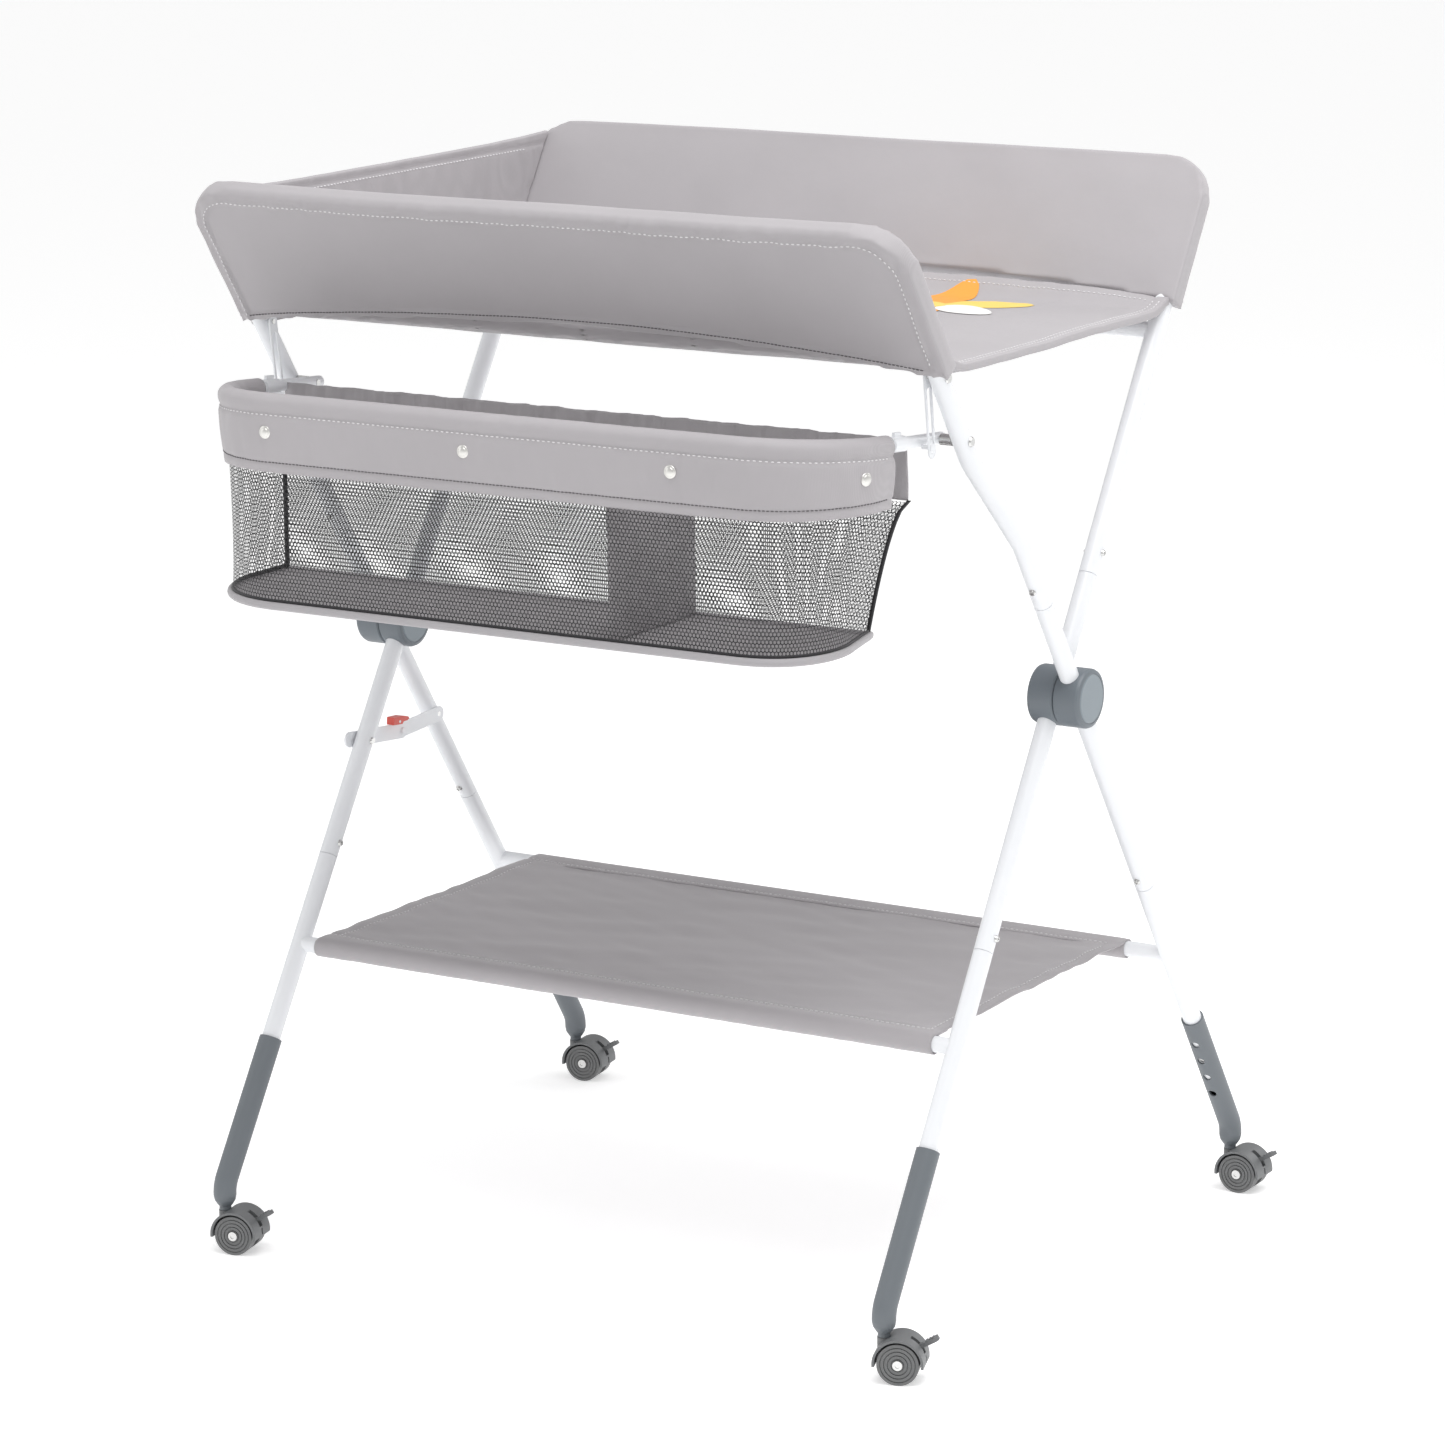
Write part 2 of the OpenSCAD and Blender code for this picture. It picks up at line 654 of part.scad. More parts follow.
// Shelf cloth with a sleeve round each shelf bar
shelf_half = 350;
shelf_thick = 3;
module shelf_sheet() {
    front = on_inner(front_bar_at);
    back = on_outer(back_bar_at);
    lift = bar_r + side_gap;
    cloth() difference() {
        union() {
            hull() for (p = [front, back]) translate([-shelf_half, p.x, p.y + lift])
                rotate([0, 90, 0]) cylinder(h = 2 * shelf_half, r = shelf_thick / 2, $fn = 32);
            for (p = [front, back]) translate([0, p.x, p.y])
                along_x(-shelf_half, shelf_half, lift + shelf_thick / 2);
        }
        for (p = [front, back]) translate([0, p.x, p.y])
            along_x(-shelf_half - 1, shelf_half + 1, lift);
    }
}

// ---- basket ----
rim_back = -50;
sleeve_start = rim_back - 40;
module basket_space() {
    p = on_outer(arm_pivot_at);
    translate([0, p.x, p.y]) children();
}
// The rim's centre line as [x, reach], in the arms' plane, which rises a little to the front
rim_route = [[-arm_half, -10], [-arm_half, arm_reach], [arm_half, arm_reach], [arm_half, -10]];
module rim_bar(r) {
    rotate([-arm_rise, 0, 0]) rotate([90, 0, 0])
        bent_bar(rim_route, [arm_corner, arm_corner], r);
}
// Plastic sockets that join the arms to the rim, open to `spare` all round
socket_from = -86;
socket_len = 24;
module arm_sockets(spare = 0) {
    for (side = [LEFT, RIGHT]) scale([side, 1, 1]) rotate([-arm_rise, 0, 0])
        translate([arm_half, socket_from + socket_len + spare, 0]) rotate([90, 0, 0])
            cylinder(h = socket_len + 2 * spare, r = arm_r + 1.5 + spare);
}
module basket_frame() {
    white() basket_space() difference() {
        union() {
            difference() {
                rim_bar(arm_r);
                rim_bar(arm_r - 1);
            }
            arm_sockets();
            for (side = [LEFT, RIGHT]) scale([side, 1, 1]) rotate([-arm_rise, 0, 0]) {
                translate([arm_half, 10, 0]) rotate([90, 0, 0]) cylinder(h = 20, r = arm_r);
                translate([arm_half - 1.5, -80, 5]) cube([3, 12, 6]);
            }
        }
        along_x(-arm_half - 2 * arm_r, arm_half + 2 * arm_r, 3);
    }
    steel() basket_space() for (side = [LEFT, RIGHT]) scale([side, 1, 1])
        translate([0, link_rivet.x, link_rivet.y])
            rivet(arm_half + arm_r - 0.5, link_face + link_thick + 0.4, 2, 4.6, 0.9);
}
// Plan outline of the basket, half width w, from back to front
module plan(w, back, front, corner) {
    polygon(concat([[w, back], [-w, back]],
        [for (a = [180 : 10 : 270]) [-w + corner + corner * cos(a), front + corner + corner * sin(a)]],
        [for (a = [270 : 10 : 360]) [w - corner + corner * cos(a), front + corner + corner * sin(a)]]));
}
module ring(w, back, front, corner, wall) {
    difference() {
        plan(w, back, front, corner);
        plan(w - wall, back - wall, front + wall, corner - wall);
    }
}
band_out = 1.5;
module basket_band() {
    front = -arm_reach * cos(arm_rise);
    cloth() basket_space() difference() {
        union() {
            intersection() {
                rim_bar(arm_r + 2.3);
                translate([-500, -500, -100]) cube([1000, 500 + sleeve_start, 300]);
            }
            difference() {
                translate([0, 0, -band_depth]) linear_extrude(height = 100)
                    ring(arm_half + band_out, rim_back, front - band_out, arm_corner + band_out, 3);
                rotate([-arm_rise, 0, 0]) translate([-500, -500, 0]) cube([1000, 1000, 300]);
            }
        }
        rim_bar(arm_r + side_gap);
        arm_sockets(side_gap);
    }
}
net_wall = 2;
module basket_net() {
    front = -arm_reach * cos(arm_rise);
    top = -band_depth - side_gap;
    color("black") basket_space() {
        translate([0, 0, -basket_depth + net_wall - 0.01]) linear_extrude(
            height = basket_depth + top - net_wall)
            ring(arm_half, rim_back, front, arm_corner, net_wall);
        translate([0, 0, -basket_depth]) linear_extrude(height = net_wall)
            plan(arm_half + 3, rim_back + 3, front - 3, arm_corner);
    }
}
divider_x = 122;
module basket_divider() {
    cloth() basket_space() translate([divider_x, -arm_reach + 6, -basket_depth + net_wall + 0.2])
        cube([2, arm_reach + rim_back - 12, basket_depth - band_depth + 20]);
}
snap_places = [-259, -29, 197];
module basket_snaps() {
    front = -arm_reach * cos(arm_rise);
    steel() basket_space() {
        for (x = snap_places) translate([x, front - band_out, -band_depth / 2])
            rotate([90, 0, 0]) cylinder(h = 2, r1 = 6.4, r2 = 4.8);
        for (side = [LEFT, RIGHT]) scale([side, 1, 1])
            translate([arm_half + band_out, -98, -band_depth / 2 + 2]) rotate([0, 90, 0])
                cylinder(h = 2, r1 = 6.4, r2 = 4.8);
    }
}
// Slotted links that guide and stop the basket's arms
module slotted_links() {
    top = on_outer(link_pivot_at);
    foot = on_outer(arm_pivot_at) + link_rivet;
    u = unit(foot - top);
    white() for (side = [LEFT, RIGHT]) scale([side, 1, 1])
        plate_x(link_face, link_face + link_thick) difference() {
            hull() for (p = [top, foot + u * 4]) translate(p) circle(r = 6.2, $fn = 32);
            translate(top) circle(r = 2.5);
            hull() for (p = [top + u * 14, foot + u * 1.1]) translate(p)
                circle(r = 3.5, $fn = 32);
        }
}

placed() back_bow();
placed() back_rail();
placed() inner_middle_tubes();
placed() front_leg_left();
placed() front_leg_right();
placed() front_shelf_bar();
placed() inner_hub_left();
placed() inner_hub_right();
placed() inner_hub_caps();
placed() hub_bolts();
placed() inner_frame_screws();
placed() back_wall();
placed() changing_mat();
placed() head_wall();
placed() shelf_sheet();
placed() front_bow();
placed() front_rail();
placed() outer_middle_tubes();
placed() back_leg_left();
placed() back_leg_right();
placed() back_shelf_bar();
placed() outer_hub_left();
placed() outer_hub_right();
placed() outer_hub_caps();
placed() outer_frame_screws();
placed() front_wall();
placed() foot_front_left();
placed() foot_front_right();
placed() foot_back_left();
placed() foot_back_right();
placed() button_front_left();
placed() button_front_right();
placed() button_back_left();
placed() button_back_right();
placed() hood_front_left();
placed() hood_front_right();
placed() hood_back_left();
placed() hood_back_right();
placed() wheels_front_left();
placed() wheels_front_right();
placed() wheels_back_left();
placed() wheels_back_right();
placed() axle_front_left();
placed() axle_front_right();
placed() axle_back_left();
placed() axle_back_right();
placed() brake_front_left();
placed() brake_front_right();
placed() brake_back_left();
placed() brake_back_right();
placed() brace_front_link();
placed() brace_rear_link();
placed() brace_release();
placed() basket_frame();
placed() basket_band();
placed() basket_net();
placed() basket_divider();
placed() basket_snaps();
placed() slotted_links();
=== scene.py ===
# A folding changing table: cloth, stitching, net and finishes round its packed tube frame.
# Metres, +Z up, +X along the table to its open end, -Y towards the person using it.
import json
import math

import bmesh
import bpy
from mathutils import Matrix, Vector, noise


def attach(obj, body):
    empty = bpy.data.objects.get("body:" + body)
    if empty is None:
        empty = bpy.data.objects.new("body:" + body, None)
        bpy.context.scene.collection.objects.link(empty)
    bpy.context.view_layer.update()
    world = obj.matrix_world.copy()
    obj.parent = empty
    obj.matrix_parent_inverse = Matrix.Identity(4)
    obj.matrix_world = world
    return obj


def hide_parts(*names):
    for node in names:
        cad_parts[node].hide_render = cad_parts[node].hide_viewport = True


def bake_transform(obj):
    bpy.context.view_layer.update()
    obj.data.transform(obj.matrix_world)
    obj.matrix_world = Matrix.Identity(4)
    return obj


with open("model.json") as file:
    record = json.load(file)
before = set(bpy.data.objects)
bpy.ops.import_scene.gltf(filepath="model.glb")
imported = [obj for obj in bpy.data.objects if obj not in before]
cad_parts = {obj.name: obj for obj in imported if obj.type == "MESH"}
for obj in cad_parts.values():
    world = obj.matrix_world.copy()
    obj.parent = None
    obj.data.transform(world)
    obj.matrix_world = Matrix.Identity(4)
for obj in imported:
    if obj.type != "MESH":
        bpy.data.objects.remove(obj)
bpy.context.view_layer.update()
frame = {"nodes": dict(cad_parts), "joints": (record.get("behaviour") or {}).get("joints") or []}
bpy.ops.object.select_all(action="DESELECT")

# The camera stands in front and to the right, a little above the mat, with a long lens.
camera_data = bpy.data.cameras.new("camera")
camera = bpy.data.objects.new("camera", camera_data)
bpy.context.scene.collection.objects.link(camera)
bpy.context.scene.camera = camera
camera_data.lens = 128.84
camera_data.clip_end = 60
camera_turn, camera_rise, camera_roll = math.radians(31.45), math.radians(12.763), math.radians(-0.507)
camera_back = Vector((
    math.sin(camera_turn) * math.cos(camera_rise),
    -math.cos(camera_turn) * math.cos(camera_rise),
    math.sin(camera_rise),
))
camera.rotation_mode = "QUATERNION"
camera.rotation_quaternion = (
    Matrix.Rotation(camera_roll, 4, camera_back).to_quaternion()
    @ (-camera_back).to_track_quat("-Z", "Y")
)
camera.location = (2.6177, -4.2887, 1.6608)

# A pale floor under a white surround. One large soft box hangs overhead towards the front, and a
# weaker one fills in from the left, so that what faces up is bright and what leans out is darker.
bpy.ops.mesh.primitive_plane_add(size=60)
floor = bpy.context.object
floor.name = "floor"
floor_paint = bpy.data.materials.new("floor_paint")
floor_paint.use_nodes = True
floor_paint.node_tree.nodes["Principled BSDF"].inputs["Base Color"].default_value = (0.93, 0.93, 0.93, 1)
floor_paint.node_tree.nodes["Principled BSDF"].inputs["Roughness"].default_value = 0.6
floor_paint.node_tree.nodes["Principled BSDF"].inputs["Specular IOR Level"].default_value = 0.2
floor_paint.node_tree.nodes["Principled BSDF"].inputs["Emission Color"].default_value = (1, 1, 1, 1)
floor_paint.node_tree.nodes["Principled BSDF"].inputs["Emission Strength"].default_value = 0.4
floor.data.materials.append(floor_paint)

surround = bpy.data.worlds.new("surround")
bpy.context.scene.world = surround
surround.use_nodes = True
surround.node_tree.nodes["Background"].inputs["Color"].default_value = (1, 1, 1, 1)
surround.node_tree.nodes["Background"].inputs["Strength"].default_value = 0.6
bpy.context.scene.view_settings.view_transform = "Standard"


def soft_box(name, place, aim, size, power):
    lamp = bpy.data.lights.new(name, "AREA")
    lamp.shape = "RECTANGLE"
    lamp.size, lamp.size_y = size
    lamp.energy = power
    box = bpy.data.objects.new(name, lamp)
    bpy.context.scene.collection.objects.link(box)
    box.location = place
    box.rotation_euler = (Vector(aim) - Vector(place)).to_track_quat("-Z", "Y").to_euler()


soft_box("top_soft_box", (0.9, -0.6, 3.4), (0, 0, 0.6), (2.6, 2.2), 72)
soft_box("left_soft_box", (-3.2, -2.2, 1.9), (0, 0, 0.7), (1.6, 2.4), 12)
soft_box("back_soft_box", (1.5, 3.4, 2.4), (0, 0, 0.7), (2.4, 1.6), 24)


# White powder coat on all the tubes: glossy, very slightly uneven in gloss, with the fine
# orange peel of a baked powder.
def mix_in(nodes, links, low, high, factor, socket):
    """Runs a socket between two numbers by a factor."""
    span = nodes.new("ShaderNodeMapRange")
    span.inputs["To Min"].default_value = low
    span.inputs["To Max"].default_value = high
    links.new(factor, span.inputs["Value"])
    links.new(span.outputs["Result"], socket)


def finish_of(name, color, roughness, grain, grain_depth, second=None):
    """A moulded or coated finish: cloudy colour, uneven gloss and a fine surface grain."""
    paint = bpy.data.materials.new(name)
    paint.use_nodes = True
    nodes, links = paint.node_tree.nodes, paint.node_tree.links
    shader = nodes["Principled BSDF"]
    place = nodes.new("ShaderNodeTexCoord")
    cloud = nodes.new("ShaderNodeTexNoise")
    cloud.inputs["Scale"].default_value = 18
    cloud.inputs["Detail"].default_value = 4
    links.new(place.outputs["Object"], cloud.inputs["Vector"])
    tint = nodes.new("ShaderNodeMix")
    tint.data_type = "RGBA"
    tint.inputs["A"].default_value = (*color, 1)
    tint.inputs["B"].default_value = (*(second or [c * 0.93 for c in color]), 1)
    links.new(cloud.outputs["Fac"], tint.inputs["Factor"])
    links.new(tint.outputs["Result"], shader.inputs["Base Color"])
    gloss = shader.inputs["Roughness"]
    mix_in(nodes, links, roughness * 0.85, roughness * 1.15, cloud.outputs["Fac"], gloss)
    fine = nodes.new("ShaderNodeTexNoise")
    fine.inputs["Scale"].default_value = grain
    fine.inputs["Detail"].default_value = 2
    links.new(place.outputs["Object"], fine.inputs["Vector"])
    bump = nodes.new("ShaderNodeBump")
    bump.inputs["Strength"].default_value = 0.35
    bump.inputs["Distance"].default_value = grain_depth
    links.new(fine.outputs["Fac"], bump.inputs["Height"])
    links.new(bump.outputs["Normal"], shader.inputs["Normal"])
    return paint


def coat(material, slot, *names):
    """Gives CAD nodes a finish."""
    for name in names:
        node = frame["nodes"][name]
        node.data.materials.clear()
        node.data.materials.append(material)


powder_coat = finish_of("white_powder_coat", (0.84, 0.86, 0.89), 0.3, 900, 0.00012, (0.88, 0.89, 0.91))
powder_coat.node_tree.nodes["Principled BSDF"].inputs["Coat Weight"].default_value = 0.35
powder_coat.node_tree.nodes["Principled BSDF"].inputs["Coat Roughness"].default_value = 0.12
coat(
    powder_coat, "white_tube",
    "back_bow", "back_rail", "inner_middle_tubes", "front_leg_left", "front_leg_right", "front_shelf_bar",
    "front_bow", "front_rail", "outer_middle_tubes", "back_leg_left", "back_leg_right", "back_shelf_bar",
    "brace_front_link", "brace_rear_link", "basket_frame", "slotted_links",
)

# Bright zinc screws, rivets, bolts, buttons and axles.
zinc = finish_of("bright_zinc", (0.72, 0.72, 0.71), 0.24, 1400, 0.00005)
zinc.node_tree.nodes["Principled BSDF"].inputs["Metallic"].default_value = 1
corners = ("front_left", "front_right", "back_left", "back_right")
coat(zinc, "steel", "hub_bolts", "inner_frame_screws", "outer_frame_screws")
coat(zinc, "steel", *["button_" + c for c in corners], *["axle_" + c for c in corners])

# The hubs are moulded in a blue-grey plastic with a fine spark texture; their caps are paler.
hub_plastic = finish_of("hub_plastic", (0.155, 0.178, 0.2), 0.42, 1600, 0.00012)
coat(hub_plastic, "hub_grey", "inner_hub_left", "inner_hub_right", "outer_hub_left", "outer_hub_right")
cap_plastic = finish_of("cap_plastic", (0.24, 0.28, 0.31), 0.36, 1600, 0.00008)
coat(cap_plastic, "cap_grey", "inner_hub_caps", "outer_hub_caps")

# Foot sleeves, caster hoods and brake levers are the same grey with a duller skin; the wheels are
# a warmer grey nylon, scuffed a little where they roll.
foot_plastic = finish_of("foot_plastic", (0.16, 0.178, 0.195), 0.46, 1500, 0.00014)
coat(foot_plastic, "foot_grey", *["foot_" + c for c in corners])
caster_plastic = finish_of("caster_plastic", (0.165, 0.17, 0.175), 0.45, 1500, 0.00012)
coat(caster_plastic, "foot_grey", *["hood_" + c for c in corners], *["brake_" + c for c in corners])
wheel_nylon = finish_of("wheel_nylon", (0.13, 0.135, 0.14), 0.5, 1200, 0.00014, (0.17, 0.17, 0.168))
coat(wheel_nylon, "wheel_grey", *["wheels_" + c for c in corners])

# The brace's catch is a small red moulding.
catch_plastic = finish_of("catch_plastic", (0.72, 0.1, 0.075), 0.35, 1500, 0.0001)
coat(catch_plastic, "catch_red", "brace_release")


# The two long walls are foam boards in sewn covers of grey coated polyester, pulled down over the
# top bows. Each cover is stitched on its outer side along its round top and has a sewn groove above its
# lower edge, which arches up in the middle; a dark line of painted shadow lies in the front wall's groove.
def cloth_of(name, color, roughness=0.6, weave=0.0009, shade=0.9):
    """Grey coated polyester: crossed threads, a cloudy dye, soft creases and a dull sheen."""
    cloth = bpy.data.materials.new(name)
    cloth.use_nodes = True
    nodes, links = cloth.node_tree.nodes, cloth.node_tree.links
    shader = nodes["Principled BSDF"]
    shader.inputs["Sheen Weight"].default_value = 0.22
    shader.inputs["Sheen Roughness"].default_value = 0.5
    shader.inputs["Specular IOR Level"].default_value = 0.35
    place = nodes.new("ShaderNodeTexCoord")
    cloud = nodes.new("ShaderNodeTexNoise")
    cloud.inputs["Scale"].default_value = 9
    cloud.inputs["Detail"].default_value = 6
    links.new(place.outputs["Object"], cloud.inputs["Vector"])
    warp = nodes.new("ShaderNodeTexWave")
    warp.bands_direction = "X"
    weft = nodes.new("ShaderNodeTexWave")
    weft.bands_direction = "Z"
    for threads in (warp, weft):
        threads.inputs["Scale"].default_value = 0.314 / weave
        threads.inputs["Distortion"].default_value = 1.5
        threads.inputs["Detail"].default_value = 1
        links.new(place.outputs["Object"], threads.inputs["Vector"])
    crossed = nodes.new("ShaderNodeMath")
    crossed.operation = "ADD"
    links.new(warp.outputs["Fac"], crossed.inputs[0])
    links.new(weft.outputs["Fac"], crossed.inputs[1])
    dye = nodes.new("ShaderNodeMix")
    dye.data_type = "RGBA"
    dye.inputs["A"].default_value = (*[c * shade for c in color], 1)
    dye.inputs["B"].default_value = (*[min(1, c * (2 - shade)) for c in color], 1)
    blend = nodes.new("ShaderNodeMix")
    blend.inputs["Factor"].default_value = 0.3
    links.new(cloud.outputs["Fac"], blend.inputs["A"])
    links.new(warp.outputs["Fac"], blend.inputs["B"])
    links.new(blend.outputs["Result"], dye.inputs["Factor"])
    links.new(dye.outputs["Result"], shader.inputs["Base Color"])
    gloss = shader.inputs["Roughness"]
    mix_in(nodes, links, roughness - 0.07, roughness + 0.07, cloud.outputs["Fac"], gloss)
    thread_bump = nodes.new("ShaderNodeBump")
    thread_bump.inputs["Strength"].default_value = 0.35
    thread_bump.inputs["Distance"].default_value = 0.00015
    links.new(crossed.outputs["Value"], thread_bump.inputs["Height"])
    soft = nodes.new("ShaderNodeTexNoise")
    soft.inputs["Scale"].default_value = 26
    soft.inputs["Detail"].default_value = 3
    links.new(place.outputs["Object"], soft.inputs["Vector"])
    crease = nodes.new("ShaderNodeBump")
    crease.inputs["Strength"].default_value = 0.25
    crease.inputs["Distance"].default_value = 0.0025
    links.new(soft.outputs["Fac"], crease.inputs["Height"])
    links.new(thread_bump.outputs["Normal"], crease.inputs["Normal"])
    links.new(crease.outputs["Normal"], shader.inputs["Normal"])
    return cloth


grey_cloth = cloth_of("grey_cloth", (0.42, 0.4, 0.415))
pale_thread = finish_of("pale_thread", (0.8, 0.79, 0.8), 0.6, 900, 0.0001)
# A dark material for the hem lines: it is painted shadow for the hem creases, not a thread colour.
hem_shadow_paint = finish_of("hem_shadow_paint", (0.13, 0.125, 0.13), 0.7, 900, 0.0001)

hub = Vector(next(j for j in frame["joints"] if j["name"] == "fold")["pos_m"])
outer_plane = Matrix.Translation(hub) @ Matrix.Rotation(math.radians(34), 4, "X")
inner_plane = Matrix.Translation(hub) @ Matrix.Rotation(math.radians(-32.6), 4, "X")
wall_half, wall_foot, wall_corner, wall_core = 0.396, 0.414, 0.048, 0.0205


def lower_edge(x, arch):
    return wall_foot + arch * (1 - abs(x / wall_half) ** 2.3)


def inset_of(x, s, top):
    """How far a point of a wall lies inside its outline, by the sides and the round top."""
    over_x, over_s = abs(x) - (wall_half - wall_corner), s - (top - wall_corner)
    if over_x > 0 and over_s > 0:
        return wall_corner - math.hypot(over_x, over_s)
    return -max(over_x, over_s) + wall_corner


def shaped(piece, move):
    """Moves each point of a piece's mesh by a rule."""
    for point in piece.data.vertices:
        point.co = move(point.co.copy())
    piece.data.update()


def modified(piece, kind, **settings):
    """Adds a modifier, sets it and applies it."""
    bpy.ops.object.select_all(action="DESELECT")
    bpy.context.view_layer.objects.active = piece
    piece.select_set(True)
    step = piece.modifiers.new(kind.lower(), kind)
    for key, value in settings.items():
        setattr(step, key, value)
    bpy.ops.object.modifier_apply(modifier=step.name)
    return piece


def puffed(piece, cap, held):
    """Swells a closed cover by its filling: Cloth with pressure, the points in `held` kept still,
    and the whole swelling scaled so that no point moves further than the cap."""
    rest = [point.co.copy() for point in piece.data.vertices]
    still = piece.vertex_groups.new(name="still")
    still.add([point.index for point in piece.data.vertices if held(point.co)], 1, "REPLACE")
    cloth = piece.modifiers.new("cloth", "CLOTH")
    cloth.settings.use_pressure = True
    cloth.settings.uniform_pressure_force = 4
    cloth.settings.quality = 5
    cloth.settings.vertex_group_mass = "still"
    cloth.settings.effector_weights.gravity = 0
    cloth.collision_settings.use_collision = False
    bpy.context.scene.frame_end = 20
    for moment in range(1, 21):
        bpy.context.scene.frame_set(moment)
    bpy.ops.object.select_all(action="DESELECT")
    bpy.context.view_layer.objects.active = piece
    piece.select_set(True)
    bpy.ops.object.modifier_apply(modifier="cloth")
    bpy.context.scene.frame_set(1)
    piece.vertex_groups.clear()
    far = max((point.co - at).length for point, at in zip(piece.data.vertices, rest))
    share = min(1, cap / max(far, 1e-6))
    for point, at in zip(piece.data.vertices, rest):
        point.co = at + (point.co - at) * share
    return piece


def wall_pad(name, top, arch, face, plane):
    """A padded wall, shaped flat in its plane (x, thickness, height) and then stood in place.
    face is -1 or 1, the side that its stitches show on."""
    bpy.ops.mesh.primitive_plane_add(size=1)
    pad = bpy.context.object
    pad.name = name
    bpy.ops.object.mode_set(mode="EDIT")
    bpy.ops.mesh.select_all(action="SELECT")
    bpy.ops.mesh.subdivide(number_cuts=31)
    bpy.ops.object.mode_set(mode="OBJECT")

    def laid_out(at):
        x, v = at.x * 2 * wall_half, at.y + 0.5
        low = lower_edge(x, arch)
        return Vector((x, 0, low + v * (top - low)))

    shaped(pad, laid_out)

    def rounded(at):
        over_x, over_s = abs(at.x) - (wall_half - wall_corner), at.z - (top - wall_corner)
        if over_x <= 0 or over_s <= 0:
            return at
        reach = math.hypot(over_x, over_s)
        share = max(over_x, over_s) / reach
        return Vector((
            math.copysign(wall_half - wall_corner + over_x * share, at.x), 0,
            top - wall_corner + over_s * share,
        ))

    shaped(pad, rounded)
    modified(pad, "SOLIDIFY", thickness=wall_core, offset=0)
    modified(pad, "BEVEL", width=0.0085, segments=4, limit_method="ANGLE", angle_limit=math.radians(60))
    modified(pad, "REMESH", mode="VOXEL", voxel_size=0.005)
    sewn_side, sewn_foot, swelling = 0.012, 0.01, 0.0045
    puffed(
        pad, swelling,
        lambda at: inset_of(at.x, at.z, top) < sewn_side or at.z < lower_edge(at.x, arch) + sewn_foot,
    )
    modified(pad, "SUBSURF", levels=1, render_levels=1)

    def sewn(at):
        inset, rise = inset_of(at.x, at.z, top), at.z - lower_edge(at.x, arch)
        wave = noise.noise(Vector((at.x * 9, at.z * 9, 3 * face)))
        fold = noise.noise(Vector((at.x * 70, at.z * 22, 7)))
        pull = 0.0011 * wave
        if face * at.y > 0:
            groove = math.exp(-(((inset - 0.013) / 0.0022) ** 2))
            pucker = math.exp(-(((inset - 0.008) / 0.011) ** 2))
            hem = math.exp(-(((rise - 0.009) / 0.0022) ** 2))
            pull += -0.0024 * groove - 0.0018 * hem + 0.0024 * pucker * fold
            pull -= 0.002 * max(0, 1 - rise / 0.009)
        at.y += math.copysign(pull, at.y) if abs(at.y) > 0.004 else 0
        at.y += 0.0035 * noise.noise(Vector((at.x * 3.1, at.z * 2, 11)))
        return at

    shaped(pad, sewn)
    pad.data.transform(plane)
    pad.data.materials.append(grey_cloth)
    bpy.ops.object.shade_smooth()
    return pad


front_top, back_top = 0.585, 0.574
front_pad = wall_pad("front_wall_pad", front_top, 0.031, -1, outer_plane)
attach(front_pad, "outer_frame")
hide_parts("front_wall")
back_pad = wall_pad("back_wall_pad", back_top, 0.02, 1, inner_plane)
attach(back_pad, "inner_frame")
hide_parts("back_wall")


# The top seams are rows of lock stitches: short pale threads lying on the cloth, one after another.
# Along the hems a nearly unbroken dark line lies on the cloth instead, as painted shadow in the hem crease.
def line_of(name, route, closed=False):
    """A curve through a route of points."""
    path = bpy.data.curves.new(name, "CURVE")
    path.dimensions = "3D"
    strand = path.splines.new("POLY")
    strand.points.add(len(route) - 1)
    for knot, at in zip(strand.points, route):
        knot.co = (*at, 1)
    strand.use_cyclic_u = closed
    line = bpy.data.objects.new(name, path)
    bpy.context.scene.collection.objects.link(line)
    return line


def stitched(name, route, thread, body=None, length=0.0038, gap=0.0018, thick=0.00065):
    """A row of stitches along a route."""
    guide = line_of(name + "_guide", route)
    bpy.ops.object.select_all(action="DESELECT")
    bpy.ops.mesh.primitive_uv_sphere_add(segments=6, ring_count=4, radius=1)
    row = bpy.context.object
    row.name = name
    shaped(row, lambda at: Vector((at.x * length / 2, at.y * thick, at.z * thick)))
    reach = sum((b - a).length for a, b in zip(route, route[1:]))
    modified(
        row, "ARRAY", fit_type="FIXED_COUNT", count=max(2, int(reach / (length + gap))),
        use_relative_offset=False, use_constant_offset=True, constant_offset_displace=(length + gap, 0, 0),
    )
    modified(row, "CURVE", object=guide)
    bpy.data.objects.remove(guide)
    row.data.materials.append(thread)
    bpy.ops.object.shade_smooth()
    if body:
        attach(row, body)
    return row


def on_surface(piece, route, toward, lift=0.0002):
    """Drops a route's points onto a piece, looking along `toward`."""
    found = []
    for at in route:
        hit, place, normal, index = piece.ray_cast(at - toward * 0.06, toward)
        if hit:
            found.append(place - toward * lift)
    return found


def wall_route(top, arch, inset, plane, step=0.006):
    """Up one side of a wall, over its round top and down the other side, inset from the edge."""
    half, bend = wall_half - inset, wall_corner - inset
    route, rise = [], lower_edge(half, arch) + 0.012
    while rise < top - wall_corner:
        route.append((-half, rise))
        rise += step
    for turn in range(0, 91, 6):
        a = math.radians(180 - turn)
        route.append((-half + bend + bend * math.cos(a), top - wall_corner + bend * math.sin(a)))
    across = -half + bend + step
    while across < half - bend:
        route.append((across, top - inset))
        across += step
    for turn in range(0, 91, 6):
        a = math.radians(90 - turn)
        route.append((half - bend + bend * math.cos(a), top - wall_corner + bend * math.sin(a)))
    rise = top - wall_corner - step
    while rise > lower_edge(half, arch) + 0.012:
        route.append((half, rise))
        rise -= step
    return [plane @ Vector((x, 0, s)) for x, s in route]


